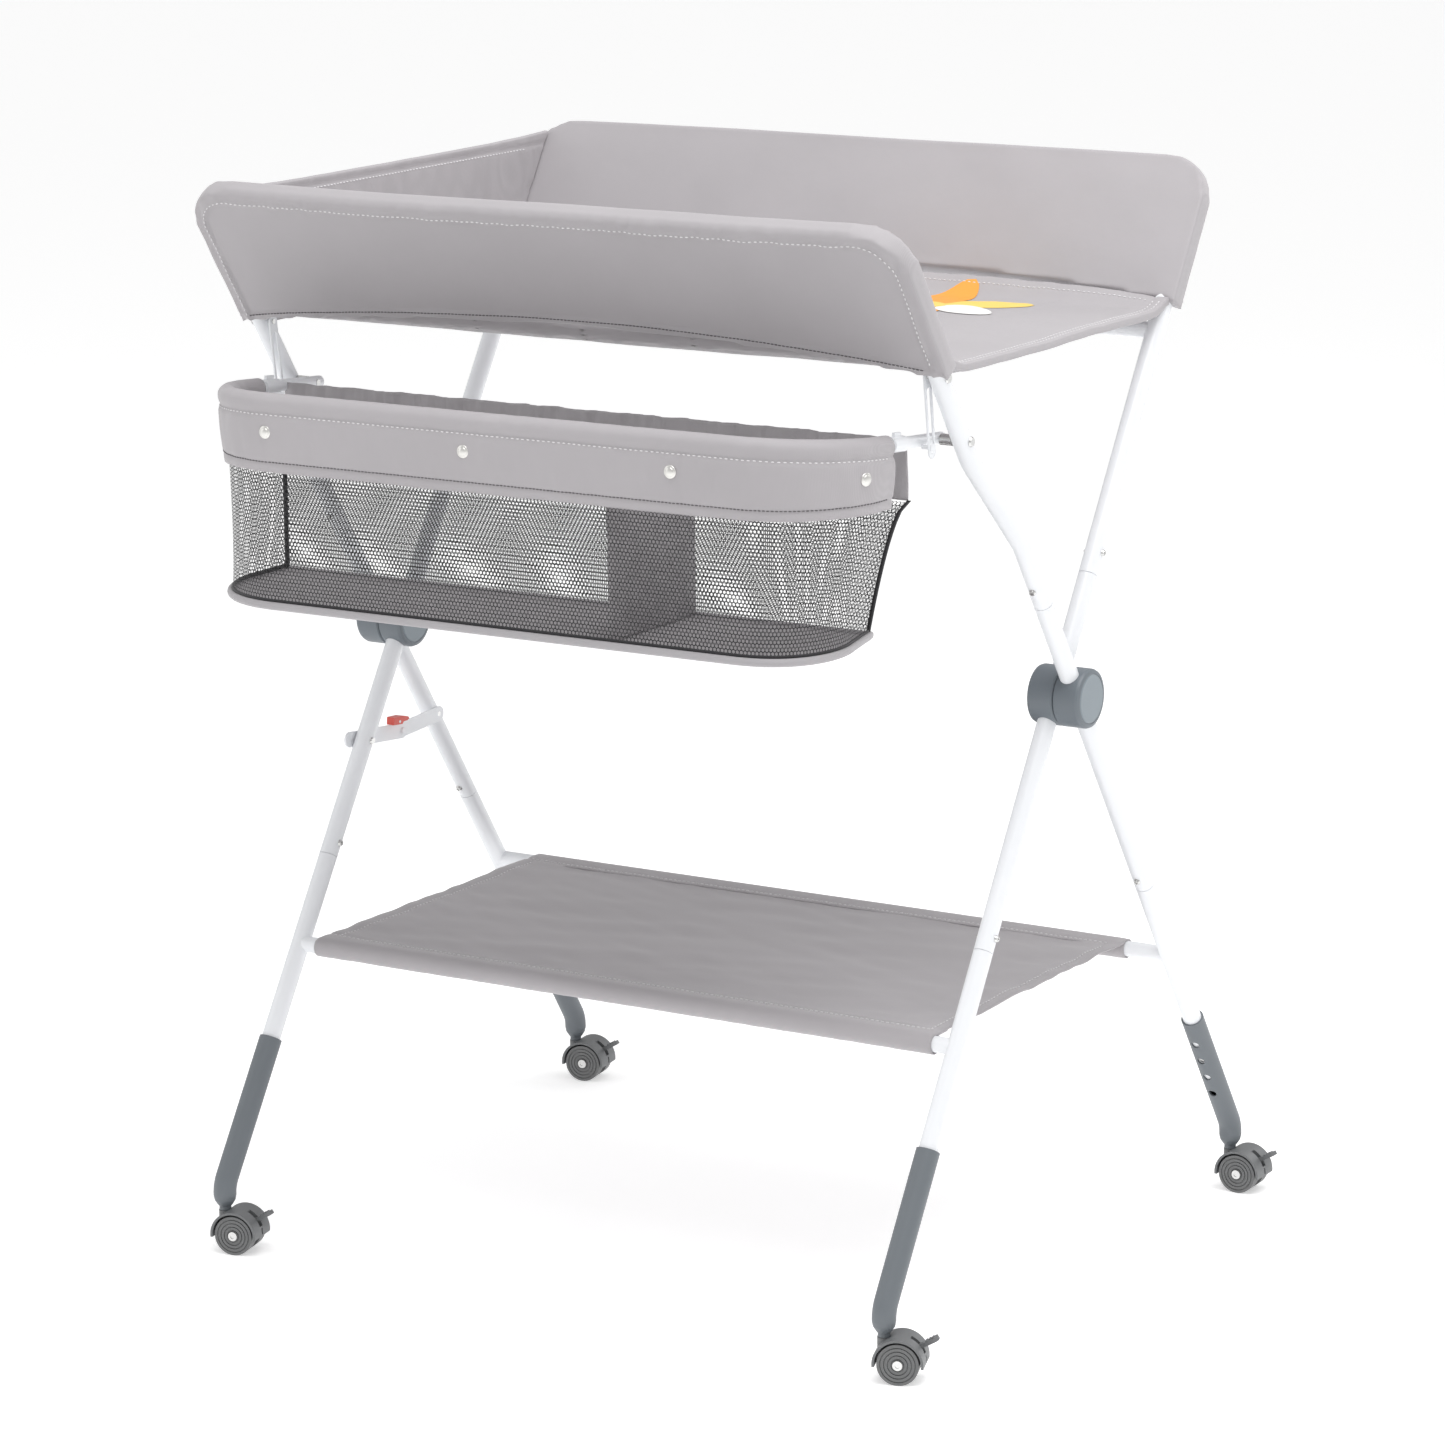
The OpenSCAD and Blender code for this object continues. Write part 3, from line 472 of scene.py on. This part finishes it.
outward = (outer_plane.to_3x3() @ Vector((0, 1, 0))).normalized()
route = on_surface(front_pad, wall_route(front_top, 0.031, 0.013, outer_plane), outward)
stitched("front_wall_top_stitches", route, pale_thread, "outer_frame")
# Along the front wall's hem, a nearly unbroken dark line lies in the groove as painted shadow in the crease.
hem = [outer_plane @ Vector((x / 100, 0, lower_edge(x / 100, 0.031) + 0.009)) for x in range(-38, 39)]
stitched("front_wall_hem_shadow_line", on_surface(front_pad, hem, outward), hem_shadow_paint, "outer_frame", gap=0.0002)
inward = (inner_plane.to_3x3() @ Vector((0, -1, 0))).normalized()
route = on_surface(back_pad, wall_route(back_top, 0.02, 0.013, inner_plane), inward)
stitched("back_wall_top_stitches", route, pale_thread, "inner_frame")


# The changing mat is a thin pad sewn between the two walls. It lies flat in the middle and climbs
# to its seams along both walls. Its front edge is a sleeve that is threaded on the front rail.
mat_height, mat_left, mat_right = 0.935, -0.3775, 0.39
mat_front, mat_back, mat_thick = -0.2275, 0.2175, 0.0085


def spot(x, y, z):
    """A place measured from the middle of the table, on the floor."""
    return Vector((hub.x + x, hub.y + 0.002 + y, z))


def mat_level(x, y):
    """Height of the mat's upper face."""
    along = 1 - abs(x / 0.4) ** 5
    climb = 0.0215 * math.exp(-(((y - mat_front) / 0.017) ** 2)) * (0.3 + 0.7 * along)
    climb += 0.0185 * math.exp(-(((y - mat_back) / 0.02) ** 2)) * (0.35 + 0.65 * along)
    wide_ripple = 0.0016 * noise.noise(Vector((x * 5, y * 7, 2)))
    ripple = wide_ripple + 0.0007 * noise.noise(Vector((x * 17, y * 30, 5)))
    pull = 0.0012 * noise.noise(Vector((x * 45, y * 4, 9))) * math.exp(-(((y - mat_back) / 0.06) ** 2))
    hem = 0.0011 * (0.5 + 0.5 * math.tanh((x - mat_right + 0.013) / 0.0012))
    hem_groove = 0.0012 * math.exp(-(((x - mat_right + 0.014) / 0.0016) ** 2))
    return mat_height + climb + ripple + pull + hem - hem_groove


bpy.ops.object.select_all(action="DESELECT")
bpy.ops.mesh.primitive_grid_add(x_subdivisions=260, y_subdivisions=110, size=1)
mat = bpy.context.object
mat.name = "changing_mat_pad"


def mat_laid(at):
    x = mat_left + (at.x + 0.5) * (mat_right - mat_left)
    y = mat_front + (at.y + 0.5) * (mat_back - mat_front)
    return spot(x, y, mat_level(x, y))


shaped(mat, mat_laid)
modified(mat, "SOLIDIFY", thickness=mat_thick, offset=-1)
modified(mat, "BEVEL", width=0.0022, segments=3, limit_method="ANGLE", angle_limit=math.radians(50))
mat.data.materials.append(grey_cloth)
bpy.ops.object.shade_smooth()
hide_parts("changing_mat")
mat_pieces = [mat]

hem_row, back_row, thread_lift = mat_right - 0.0125, mat_back - 0.012, 0.0003
route = [
    spot(hem_row, y / 1000, mat_level(hem_row, y / 1000) + thread_lift) for y in range(-215, 212, 4)
]
mat_pieces.append(stitched("mat_hem_stitches", route, pale_thread))
route = [at + Vector((0.007, 0, thread_lift)) for at in route]
mat_pieces.append(stitched("mat_edge_stitches", route, pale_thread))
route = [
    spot(x / 1000, back_row, mat_level(x / 1000, back_row) + thread_lift) for x in range(-370, 376, 5)
]
mat_pieces.append(stitched("mat_back_stitches", route, pale_thread))

# The sleeve round the front rail shows below the arch of the front wall.
sleeve_line = (-0.2269, 0.9465, 0.0112)
bpy.ops.object.select_all(action="DESELECT")
bpy.ops.mesh.primitive_cylinder_add(vertices=40, radius=1, depth=1, end_fill_type="NOTHING")
sleeve = bpy.context.object
sleeve.name = "front_rail_sleeve"
bpy.ops.object.mode_set(mode="EDIT")
bpy.ops.mesh.select_all(action="SELECT")
bpy.ops.mesh.subdivide(number_cuts=5)
bpy.ops.object.mode_set(mode="OBJECT")


def sleeve_laid(at):
    x = -0.366 + (at.z + 0.5) * 0.732
    turn = math.atan2(at.y, at.x)
    crease = noise.noise(Vector((x * 38 + turn * 0.9, turn * 1.3, 4)))
    crease += 0.6 * noise.noise(Vector((x * 90 - turn * 1.6, turn, 8)))
    reach = sleeve_line[2] + 0.0011 * crease
    return spot(x, sleeve_line[0] + reach * math.cos(turn), sleeve_line[1] + reach * math.sin(turn))


long_cut = bmesh.new()
long_cut.from_mesh(sleeve.data)
sleeve_rings = 150
for step in range(1, sleeve_rings):
    bmesh.ops.bisect_plane(
        long_cut, geom=long_cut.verts[:] + long_cut.edges[:] + long_cut.faces[:],
        plane_co=(0, 0, -0.5 + step / sleeve_rings), plane_no=(0, 0, 1),
    )
long_cut.to_mesh(sleeve.data)
long_cut.free()
shaped(sleeve, sleeve_laid)
modified(sleeve, "SOLIDIFY", thickness=0.0012, offset=0)
sleeve.data.materials.append(grey_cloth)
bpy.ops.object.shade_smooth()
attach(sleeve, "outer_frame")

# A flower of plain petals is printed near the open end of the mat.
print_colors = {
    "print_orange": (0.93, 0.38, 0.06), "print_yellow": (0.95, 0.68, 0.16), "print_white": (0.9, 0.89, 0.87),
}
print_paints = {key: finish_of(key, value, 0.55, 1500, 0.00012) for key, value in print_colors.items()}


def petal(name, x, y, long, wide, turn, paint):
    bpy.ops.object.select_all(action="DESELECT")
    bpy.ops.mesh.primitive_grid_add(x_subdivisions=24, y_subdivisions=12, size=1)
    leaf = bpy.context.object
    leaf.name = name
    spin = Matrix.Rotation(math.radians(turn), 2)

    def lay(at):
        u, v = at.x * 2, at.y * 2
        half = math.sqrt(max(0, 1 - u * u)) * (1 - 0.25 * u)
        flat = spin @ Vector((u * long / 2, v * half * wide / 2))
        px, py = x + flat.x, y + flat.y
        return spot(px, py, mat_level(px, py) + 0.00045)

    shaped(leaf, lay)
    leaf.data.materials.append(print_paints[paint])
    bpy.ops.object.shade_smooth()
    return leaf


petals = [
    ("petal_1", 0.226, 0.148, 0.09, 0.048, 20, "print_yellow"),
    ("petal_2", 0.166, 0.163, 0.096, 0.052, 75, "print_orange"),
    ("petal_3", 0.118, 0.135, 0.09, 0.05, 140, "print_orange"),
    ("petal_4", 0.124, 0.088, 0.084, 0.048, 200, "print_white"),
    ("petal_5", 0.178, 0.07, 0.086, 0.048, 265, "print_orange"),
    ("petal_6", 0.226, 0.1, 0.08, 0.043, 330, "print_white"),
    ("petal_heart", 0.172, 0.118, 0.043, 0.043, 0, "print_yellow"),
]
for lift, (name, x, y, long, wide, turn, paint) in enumerate(petals):
    leaf = petal(name, x, y, long, wide, turn, paint)
    shaped(leaf, lambda at, lift=lift: at + Vector((0, 0, 0.00006 * lift)))
    mat_pieces.append(leaf)
for piece in mat_pieces:
    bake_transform(piece)


# The head wall is a soft upright panel that closes the left end, sewn to both walls and to the mat.
# Its top is a wide hem.
head_low, head_top, head_from, head_thick = 0.9235, 1.0635, -0.3855, 0.0065


def wall_face(z, lean, way):
    """Where the head wall meets a long wall: the front one by -1, the back one by 1."""
    lean = math.radians(lean)
    half_wall = 0.0128
    return -0.002 + way * ((z - 0.588) * math.tan(lean) - half_wall / math.cos(lean))


bpy.ops.object.select_all(action="DESELECT")
bpy.ops.mesh.primitive_grid_add(x_subdivisions=150, y_subdivisions=50, size=1)
head = bpy.context.object
head.name = "head_wall_panel"


def head_stood(at):
    v, u = at.y + 0.5, at.x + 0.5
    z = head_low + v * (head_top - head_low)
    low, high = wall_face(z, 34, -1), wall_face(z, 32.6, 1)
    y = low + u * (high - low)
    z -= 0.004 * (1 - (2 * u - 1) ** 4) * v
    puff = 0.0016 * noise.noise(Vector((y * 9, z * 14, 3)))
    puff = puff + 0.0009 * noise.noise(Vector((y * 40, z * 16, 6)))
    rise = z - head_low
    hem = -0.0013 * math.exp(-(((head_top - 0.0125 - z) / 0.0018) ** 2))
    near_ends = math.exp(-((u / 0.06) ** 2)) + math.exp(-(((1 - u) / 0.06) ** 2))
    corner = 0.0012 * noise.noise(Vector((y * 90, z * 25, 1))) * near_ends
    return spot(head_from + head_thick + puff + hem + corner - 0.001 * math.exp(-rise / 0.01), y, z)


shaped(head, head_stood)
bpy.ops.object.mode_set(mode="EDIT")
bpy.ops.mesh.select_all(action="SELECT")
bpy.ops.mesh.normals_make_consistent(inside=False)
bpy.ops.object.mode_set(mode="OBJECT")
if head.data.polygons[0].normal.x < 0:
    bpy.ops.object.mode_set(mode="EDIT")
    bpy.ops.mesh.flip_normals()
    bpy.ops.object.mode_set(mode="OBJECT")
modified(head, "SOLIDIFY", thickness=head_thick, offset=-1)
modified(head, "BEVEL", width=0.0022, segments=3, limit_method="ANGLE", angle_limit=math.radians(50))
head.data.materials.append(grey_cloth)
bpy.ops.object.shade_smooth()
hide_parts("head_wall")
route = []
for y in range(-262, 243, 4):
    route.append(spot(head_from + head_thick + 0.03, y / 1000, head_top - 0.0155))
head_stitches = stitched("head_wall_stitches", on_surface(head, route, Vector((-1, 0, 0))), pale_thread)
for piece in (head, head_stitches):
    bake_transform(piece)


# The shelf is one sheet of the same cloth. It is folded round the front and back crossbars into
# sleeves, hemmed along both sides, and pulled tight, so creases run from its corners.
shelf_left, shelf_right, shelf_wrap = -0.356, 0.357, 0.0096
front_bar, back_bar = (-0.1956, 0.2852), (0.2032, 0.2837)
lap, sleeve_seam, side_seam = 0.024, 0.017, 0.014


def shelf_route():
    """The sheet's section, from the front lap round both bars to the back lap, as (y, z) points."""
    points = [(front_bar[0] + lap * (1 - i / 4), front_bar[1] + shelf_wrap - 0.0022) for i in range(4)]
    points += [(
        front_bar[0] + shelf_wrap * math.cos(math.radians(a)),
        front_bar[1] + shelf_wrap * math.sin(math.radians(a)),
    ) for a in range(60, -91, -15)]
    points += [(
        front_bar[0] + shelf_wrap * math.cos(math.radians(a)),
        front_bar[1] + shelf_wrap * math.sin(math.radians(a)),
    ) for a in range(-105, -271, -15)]
    span = back_bar[0] - front_bar[0]
    points += [(
        front_bar[0] + span * i / 90, front_bar[1] + shelf_wrap + (back_bar[1] - front_bar[1]) * i / 90,
    ) for i in range(1, 91)]
    points += [(
        back_bar[0] + shelf_wrap * math.cos(math.radians(a)),
        back_bar[1] + shelf_wrap * math.sin(math.radians(a)),
    ) for a in range(75, -241, -15)]
    points += [(back_bar[0] - lap * i / 4, back_bar[1] + shelf_wrap - 0.0022) for i in range(1, 5)]
    return points


section = shelf_route()
bpy.ops.object.select_all(action="DESELECT")
bpy.ops.mesh.primitive_grid_add(x_subdivisions=220, y_subdivisions=len(section) - 1, size=1)
shelf = bpy.context.object
shelf.name = "shelf_cloth"


def shelf_hung(at):
    x = shelf_left + (at.x + 0.5) * (shelf_right - shelf_left)
    y, z = section[round((at.y + 0.5) * (len(section) - 1))]
    inside = max(0, min(1, (y - front_bar[0] - 0.004) / 0.03))
    inside = inside * max(0, min(1, (back_bar[0] - 0.004 - y) / 0.03))
    if z > front_bar[1] + shelf_wrap - 0.002:
        side = min(x - shelf_left, shelf_right - x)
        slack = 0.0045 * inside * min(1, side / 0.06)
        creases = noise.noise(Vector((x * 5 + y * 9, (y - x * 0.35) * 26, 2)))
        creases += 0.6 * noise.noise(Vector((x * 9 - y * 6, (y + x * 0.4) * 45, 7)))
        z += -slack + 0.0021 * inside * creases
        z -= 0.0012 * math.exp(-(((side - side_seam) / 0.0018) ** 2)) * inside
        for seam in (front_bar[0] + sleeve_seam, back_bar[0] - sleeve_seam):
            z -= 0.0014 * math.exp(-(((y - seam) / 0.002) ** 2))
        z -= 0.001 * math.exp(-((side / 0.003) ** 2))
    else:
        z += 0.0004 * noise.noise(Vector((x * 60, y * 40, z * 50)))
        y += 0.0006 * noise.noise(Vector((x * 70, y * 30, z * 50)))
    return spot(x, y, z)


shaped(shelf, shelf_hung)
modified(shelf, "SOLIDIFY", thickness=0.0012, offset=0)
shelf.data.materials.append(grey_cloth)
bpy.ops.object.shade_smooth()
shelf_pieces = [shelf]
down = Vector((0, 0, -1))
for name, y in (
    ("shelf_front_stitches", front_bar[0] + sleeve_seam), ("shelf_back_stitches", back_bar[0] - sleeve_seam),
):
    route = [spot(x / 1000, y, 0.34) for x in range(-354, 356, 5)]
    shelf_pieces.append(stitched(name, on_surface(shelf, route, down), pale_thread))
for name, x in (
    ("shelf_left_stitches", shelf_left + side_seam), ("shelf_right_stitches", shelf_right - side_seam),
):
    route = [spot(x, y / 1000, 0.34) for y in range(-176, 184, 5)]
    shelf_pieces.append(stitched(name, on_surface(shelf, route, down), pale_thread))
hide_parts("shelf_sheet")
for piece in shelf_pieces:
    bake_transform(piece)


# The basket hangs from a U-shaped white bar. A grey band is rolled over the bar and sewn below it,
# black hexagonal net makes the walls, and a stiff grey floor with a bound edge closes the bottom.
arms = Vector(next(j for j in frame["joints"] if j["name"] == "basket_tilt")["pos_m"])
rim_half, rim_corner, rim_front, rim_back = 0.352, 0.095, 0.2044, 0.05
rim_side = rim_front - rim_corner - rim_back
rim_arc = math.pi / 2 * rim_corner
rim_flat = 2 * (rim_half - rim_corner)
rim_length = 2 * rim_side + 2 * rim_arc + rim_flat
rim_climb = math.tan(math.radians(4.5))
band_low, net_low = -0.05, -0.1795


def rim_at(d):
    """The place and outward direction at a distance along the rim, from its left end to its right."""
    if d < rim_side:
        return -rim_half, -rim_back - d, -1, 0
    d -= rim_side
    if d < rim_arc:
        a = d / rim_corner
        return (
            -rim_half + rim_corner - rim_corner * math.cos(a),
            -rim_front + rim_corner - rim_corner * math.sin(a),
            -math.cos(a), -math.sin(a),
        )
    d -= rim_arc
    if d < rim_flat:
        return -rim_half + rim_corner + d, -rim_front, 0, -1
    d -= rim_flat
    if d < rim_arc:
        a = d / rim_corner
        return (
            rim_half - rim_corner + rim_corner * math.sin(a),
            -rim_front + rim_corner - rim_corner * math.cos(a),
            math.sin(a), -math.cos(a),
        )
    return rim_half, -rim_front + rim_corner + d - rim_arc, 1, 0


def on_rim(d, out, z):
    """A point beside the rim: `out` from its line, at height z over the arms' pivots."""
    x, y, nx, ny = rim_at(d)
    return arms + Vector((x + nx * out, y + ny * out, z))


band_start, band_end, roll = 0.042, rim_length - 0.042, 0.0088


def band_profile(v, climb):
    """Offset and height of the band at v from its inner edge (0) to its lower outer edge (1)."""
    inner, over, outer = 0.042, math.pi * roll, climb - band_low
    reach = v * (inner + over + outer)
    if reach < inner:
        return -roll + 0.001 * math.sin(reach / inner * math.pi), climb - inner + reach, reach
    reach -= inner
    if reach < over:
        a = math.pi - reach / roll
        return roll * math.cos(a), climb + roll * math.sin(a), reach
    reach -= over
    share = reach / outer
    belly = 0.0016 * math.sin(share * math.pi)
    groove = 0.0022 * math.exp(-(((reach - 0.009) / 0.0035) ** 2))
    groove = groove + 0.0012 * math.exp(-(((outer - reach - 0.009) / 0.002) ** 2))
    return roll - 0.0045 * share + belly - groove, climb - reach, reach


bpy.ops.object.select_all(action="DESELECT")
bpy.ops.mesh.primitive_grid_add(x_subdivisions=420, y_subdivisions=64, size=1)
band = bpy.context.object
band.name = "basket_band_cloth"


def band_sewn(at):
    d, v = band_start + (at.x + 0.5) * (band_end - band_start), at.y + 0.5
    climb = -rim_at(d)[1] * rim_climb
    out, z, reach = band_profile(v, climb)
    pucker = 0.0011 * noise.noise(Vector((d * 75, z * 30, 3)))
    pucker = pucker + 0.0012 * noise.noise(Vector((d * 16, z * 20, 8)))
    z += 0.0012 * noise.noise(Vector((d * 14, 5, 5))) * (1 if v > 0.9 else 0)
    return on_rim(d, out + pucker, z)


shaped(band, band_sewn)
modified(band, "SOLIDIFY", thickness=0.0014, offset=0)
band.data.materials.append(grey_cloth)
bpy.ops.object.shade_smooth()
basket_pieces = [band]


def beside_rim(name, height, thread, gap=0.0018):
    """A row of stitches round the outside of the band, `height` below the rim or above the hem."""
    route = []
    for step in range(0, 220):
        d = band_start + 0.004 + step * (band_end - band_start - 0.008) / 219
        climb = -rim_at(d)[1] * rim_climb
        x, y, nx, ny = rim_at(d)
        z = climb - height if height > 0 else band_low - height
        start = arms + Vector((x + nx * 0.05, y + ny * 0.05, z))
        hit, place, normal, index = band.ray_cast(start, Vector((-nx, -ny, 0)))
        if hit:
            route.append(place + Vector((nx, ny, 0)) * 0.0002)
    return stitched(name, route, thread, gap=gap)


basket_pieces.append(beside_rim("band_upper_stitches", 0.0105, pale_thread))
# The lower row is a nearly unbroken dark line in the band's lower groove: painted shadow, not stitches.
basket_pieces.append(beside_rim("band_lower_shadow_line", -0.0098, hem_shadow_paint, 0.0002))
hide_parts("basket_band")

# The back of the basket has a grey strip too, gathered along its top by an elastic.
bpy.ops.object.select_all(action="DESELECT")
bpy.ops.mesh.primitive_grid_add(x_subdivisions=420, y_subdivisions=24, size=1)
gathered = bpy.context.object
gathered.name = "basket_back_strip"


def gathered_up(at):
    x, v = at.x * 2 * (rim_half - 0.001), at.y + 0.5
    ruffle = 0.0042 * noise.noise(Vector((x * 62, 1, v * 1.5)))
    ruffle = ruffle + 0.0022 * noise.noise(Vector((x * 140, 4, v)))
    z = band_low + v * 0.057 + 0.0012 * noise.noise(Vector((x * 40, 2, 2))) * v
    return arms + Vector((x, -rim_back + ruffle * (0.25 + 0.75 * v), z))


shaped(gathered, gathered_up)
modified(gathered, "SOLIDIFY", thickness=0.0012, offset=0)
gathered.data.materials.append(grey_cloth)
bpy.ops.object.shade_smooth()
basket_pieces.append(gathered)

# The net is one hexagon, repeated: each cell is a thin flat ring, and two rings make a rib.
net_black = finish_of("net_black", (0.012, 0.012, 0.014), 0.6, 900, 0.0001)
cell, rib = 0.004, 0.0005
cell_radius = cell / math.sqrt(3)


def net_sheet(name, width, height):
    bpy.ops.object.select_all(action="DESELECT")
    bpy.ops.mesh.primitive_circle_add(vertices=6, radius=cell_radius, fill_type="NGON")
    net = bpy.context.object
    net.name = name
    bpy.ops.object.mode_set(mode="EDIT")
    bpy.ops.mesh.select_all(action="SELECT")
    bpy.ops.mesh.inset(thickness=rib)
    bpy.ops.mesh.delete(type="FACE")
    bpy.ops.object.mode_set(mode="OBJECT")
    turned = abs(max(point.co.y for point in net.data.vertices) - cell_radius) > 1e-5
    if turned:
        shaped(net, lambda at: Vector((-at.y, at.x, 0)))
    row = 1.5 * cell_radius
    modified(
        net, "ARRAY", count=2, use_relative_offset=False, use_constant_offset=True,
        constant_offset_displace=(cell / 2, row, 0),
    )
    modified(
        net, "ARRAY", count=int(width / cell), use_relative_offset=False, use_constant_offset=True,
        constant_offset_displace=(width / int(width / cell), 0, 0),
    )
    modified(
        net, "ARRAY", count=int(height / (2 * row)), use_relative_offset=False, use_constant_offset=True,
        constant_offset_displace=(0, height / int(height / (2 * row)), 0),
    )
    net.data.materials.append(net_black)
    return net


net_height = band_low - net_low
front_net = net_sheet("basket_front_net", rim_length, net_height)


def net_hung(at):
    d = min(max(at.x, 0), rim_length)
    v = min(max(at.y / net_height, 0), 1)
    slack = 0.003 * math.sin(v * math.pi) * (0.5 + noise.noise(Vector((d * 6, v, 3))))
    return on_rim(d, 0.0005 - slack, net_low + v * net_height)



def drawn_in(at):
    """The basket narrows downwards at the back of its right end."""
    x, y, z = at - arms
    side = max(0, min(1, (x - 0.2) / 0.15))
    back = max(0, min(1, (y + rim_front) / (rim_front - rim_back)))
    low = max(0, min(1, (band_low - z) / net_height))
    pull = 0.044 * side * side * (3 - 2 * side) * back ** 0.8 * low ** 0.6
    return Vector((at.x - pull, at.y, at.z))


shaped(front_net, net_hung)
shaped(front_net, drawn_in)
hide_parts("basket_net")
back_net = net_sheet("basket_back_net", 2 * rim_half, net_height)
shaped(back_net, lambda at: arms + Vector((
    min(max(at.x, 0), 2 * rim_half) - rim_half, -rim_back - 0.002 * math.sin(at.y / net_height * math.pi),
    net_low + min(at.y, net_height),
)))
shaped(back_net, drawn_in)
basket_pieces += [front_net, back_net]

# The floor: a stiff grey panel cut to the basket's plan.
bpy.ops.object.select_all(action="DESELECT")
bpy.ops.mesh.primitive_grid_add(x_subdivisions=160, y_subdivisions=40, size=1)
base = bpy.context.object
base.name = "basket_floor"


def base_laid(at):
    x, v = at.x * 2 * (rim_half + 0.002), at.y + 0.5
    over = max(0, abs(x) - (rim_half - rim_corner))
    bend = math.sqrt(max(0, rim_corner ** 2 - min(over, rim_corner) ** 2))
    front = -rim_front - 0.002 + rim_corner - bend
    y = front + v * (-rim_back - front)
    return arms + Vector((x, y, net_low + 0.0007 * noise.noise(Vector((x * 8, y * 12, 4)))))


shaped(base, base_laid)
shaped(base, drawn_in)
modified(base, "SOLIDIFY", thickness=0.002, offset=-1)
base.data.materials.append(grey_cloth)
bpy.ops.object.shade_smooth()
basket_pieces.append(base)


def bound(name, route, cloth, wide, closed=False):
    """A binding along a route: a strip of cloth folded over into a soft round cord."""
    rail = line_of(name, route, closed)
    rail.data.bevel_resolution = 3
    bpy.ops.object.select_all(action="DESELECT")
    bpy.context.view_layer.objects.active = rail
    rail.select_set(True)
    rail.data.bevel_depth = wide / 2
    bpy.ops.object.convert(target="MESH")
    strip = bpy.context.object
    strip.name = name
    strip.data.materials.append(cloth)
    bpy.ops.object.shade_smooth()
    return strip


grey_binding = cloth_of("grey_binding", (0.4, 0.385, 0.4), 0.55, 0.0007)
black_tape = cloth_of("black_tape", (0.018, 0.017, 0.02), 0.6, 0.0007)
route = [on_rim(rim_length * i / 200, 0.003, net_low - 0.0005) for i in range(201)]
back_half = rim_half - 0.001
route += [
    arms + Vector((back_half - 2 * back_half * i / 40, -rim_back, net_low - 0.0005)) for i in range(1, 40)
]
binding = bound("basket_floor_binding", route, grey_binding, 0.0062, True)
low_edge = arms.z + net_low - 0.0005
shaped(binding, lambda at: Vector((at.x, at.y, low_edge + (at.z - low_edge) * 1.25)))
shaped(binding, drawn_in)
basket_pieces.append(binding)
for name, d in (("basket_left_tape", 0.001), ("basket_right_tape", rim_length - 0.001)):
    route = [on_rim(d, 0.0004, net_low + net_height * i / 12) for i in range(13)]
    tape = bound(name, route, black_tape, 0.0046)
    shaped(tape, drawn_in)
    basket_pieces.append(tape)
route = [on_rim(rim_length * i / 200, 0.0004, net_low + 0.004) for i in range(201)]
low_tape = bound("basket_low_tape", route, black_tape, 0.0034)
shaped(low_tape, drawn_in)
basket_pieces.append(low_tape)

# A cloth divider splits the basket in two.
bpy.ops.object.select_all(action="DESELECT")
bpy.ops.mesh.primitive_grid_add(x_subdivisions=50, y_subdivisions=50, size=1)
divider = bpy.context.object
divider.name = "basket_divider_cloth"


def divider_hung(at):
    u, v = at.x + 0.5, at.y + 0.5
    y = -rim_front + 0.002 + u * (rim_front - rim_back - 0.004)
    z = net_low + 0.001 + v * (net_height + 0.006 - 0.012 * math.sin(u * math.pi))
    bulge = 0.004 * math.sin(u * math.pi) * math.sin(v * 2.6)
    bulge = bulge + 0.0025 * noise.noise(Vector((u * 5, v * 4, 3)))
    return arms + Vector((0.122 + bulge, y, z))


shaped(divider, divider_hung)
modified(divider, "SOLIDIFY", thickness=0.0016, offset=0)
divider.data.materials.append(grey_cloth)
bpy.ops.object.shade_smooth()
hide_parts("basket_divider")
basket_pieces.append(divider)
for piece in basket_pieces:
    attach(piece, "basket")

# Snap fasteners: low domed nickel caps with a rolled edge, three along the band and one at its right end.
nickel = finish_of("pearl_nickel", (0.78, 0.77, 0.74), 0.3, 1400, 0.00005)
nickel.node_tree.nodes["Principled BSDF"].inputs["Metallic"].default_value = 0.8
caps = bmesh.new()
front_start = rim_side + rim_arc + rim_half - rim_corner
for d in (front_start - 0.255, front_start - 0.029, front_start + 0.197, rim_length - 0.085):
    x, y, nx, ny = rim_at(d)
    climb = -y * rim_climb
    start = arms + Vector((x + nx * 0.05, y + ny * 0.05, climb - 0.027))
    hit, place, normal, index = band.ray_cast(start, Vector((-nx, -ny, 0)))
    stand = Matrix.Translation(place) @ Vector((nx, ny, 0)).to_track_quat("Z", "Y").to_matrix().to_4x4()
    for radius, height, lift in ((0.0064, 0.0017, 0.0), (0.0046, 0.0018, 0.0008)):
        bmesh.ops.create_uvsphere(
            caps, u_segments=32, v_segments=16, radius=1,
            matrix=stand @ Matrix.Translation((0, 0, lift)) @ Matrix.Diagonal((radius, radius, height, 1)),
        )
snap_mesh = bpy.data.meshes.new("basket_snap_caps")
caps.to_mesh(snap_mesh)
caps.free()
snap_mesh.materials.append(nickel)
snap_mesh.shade_smooth()
snaps = bpy.data.objects.new("basket_snap_caps", snap_mesh)
bpy.context.scene.collection.objects.link(snaps)
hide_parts("basket_snaps")
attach(snaps, "basket")
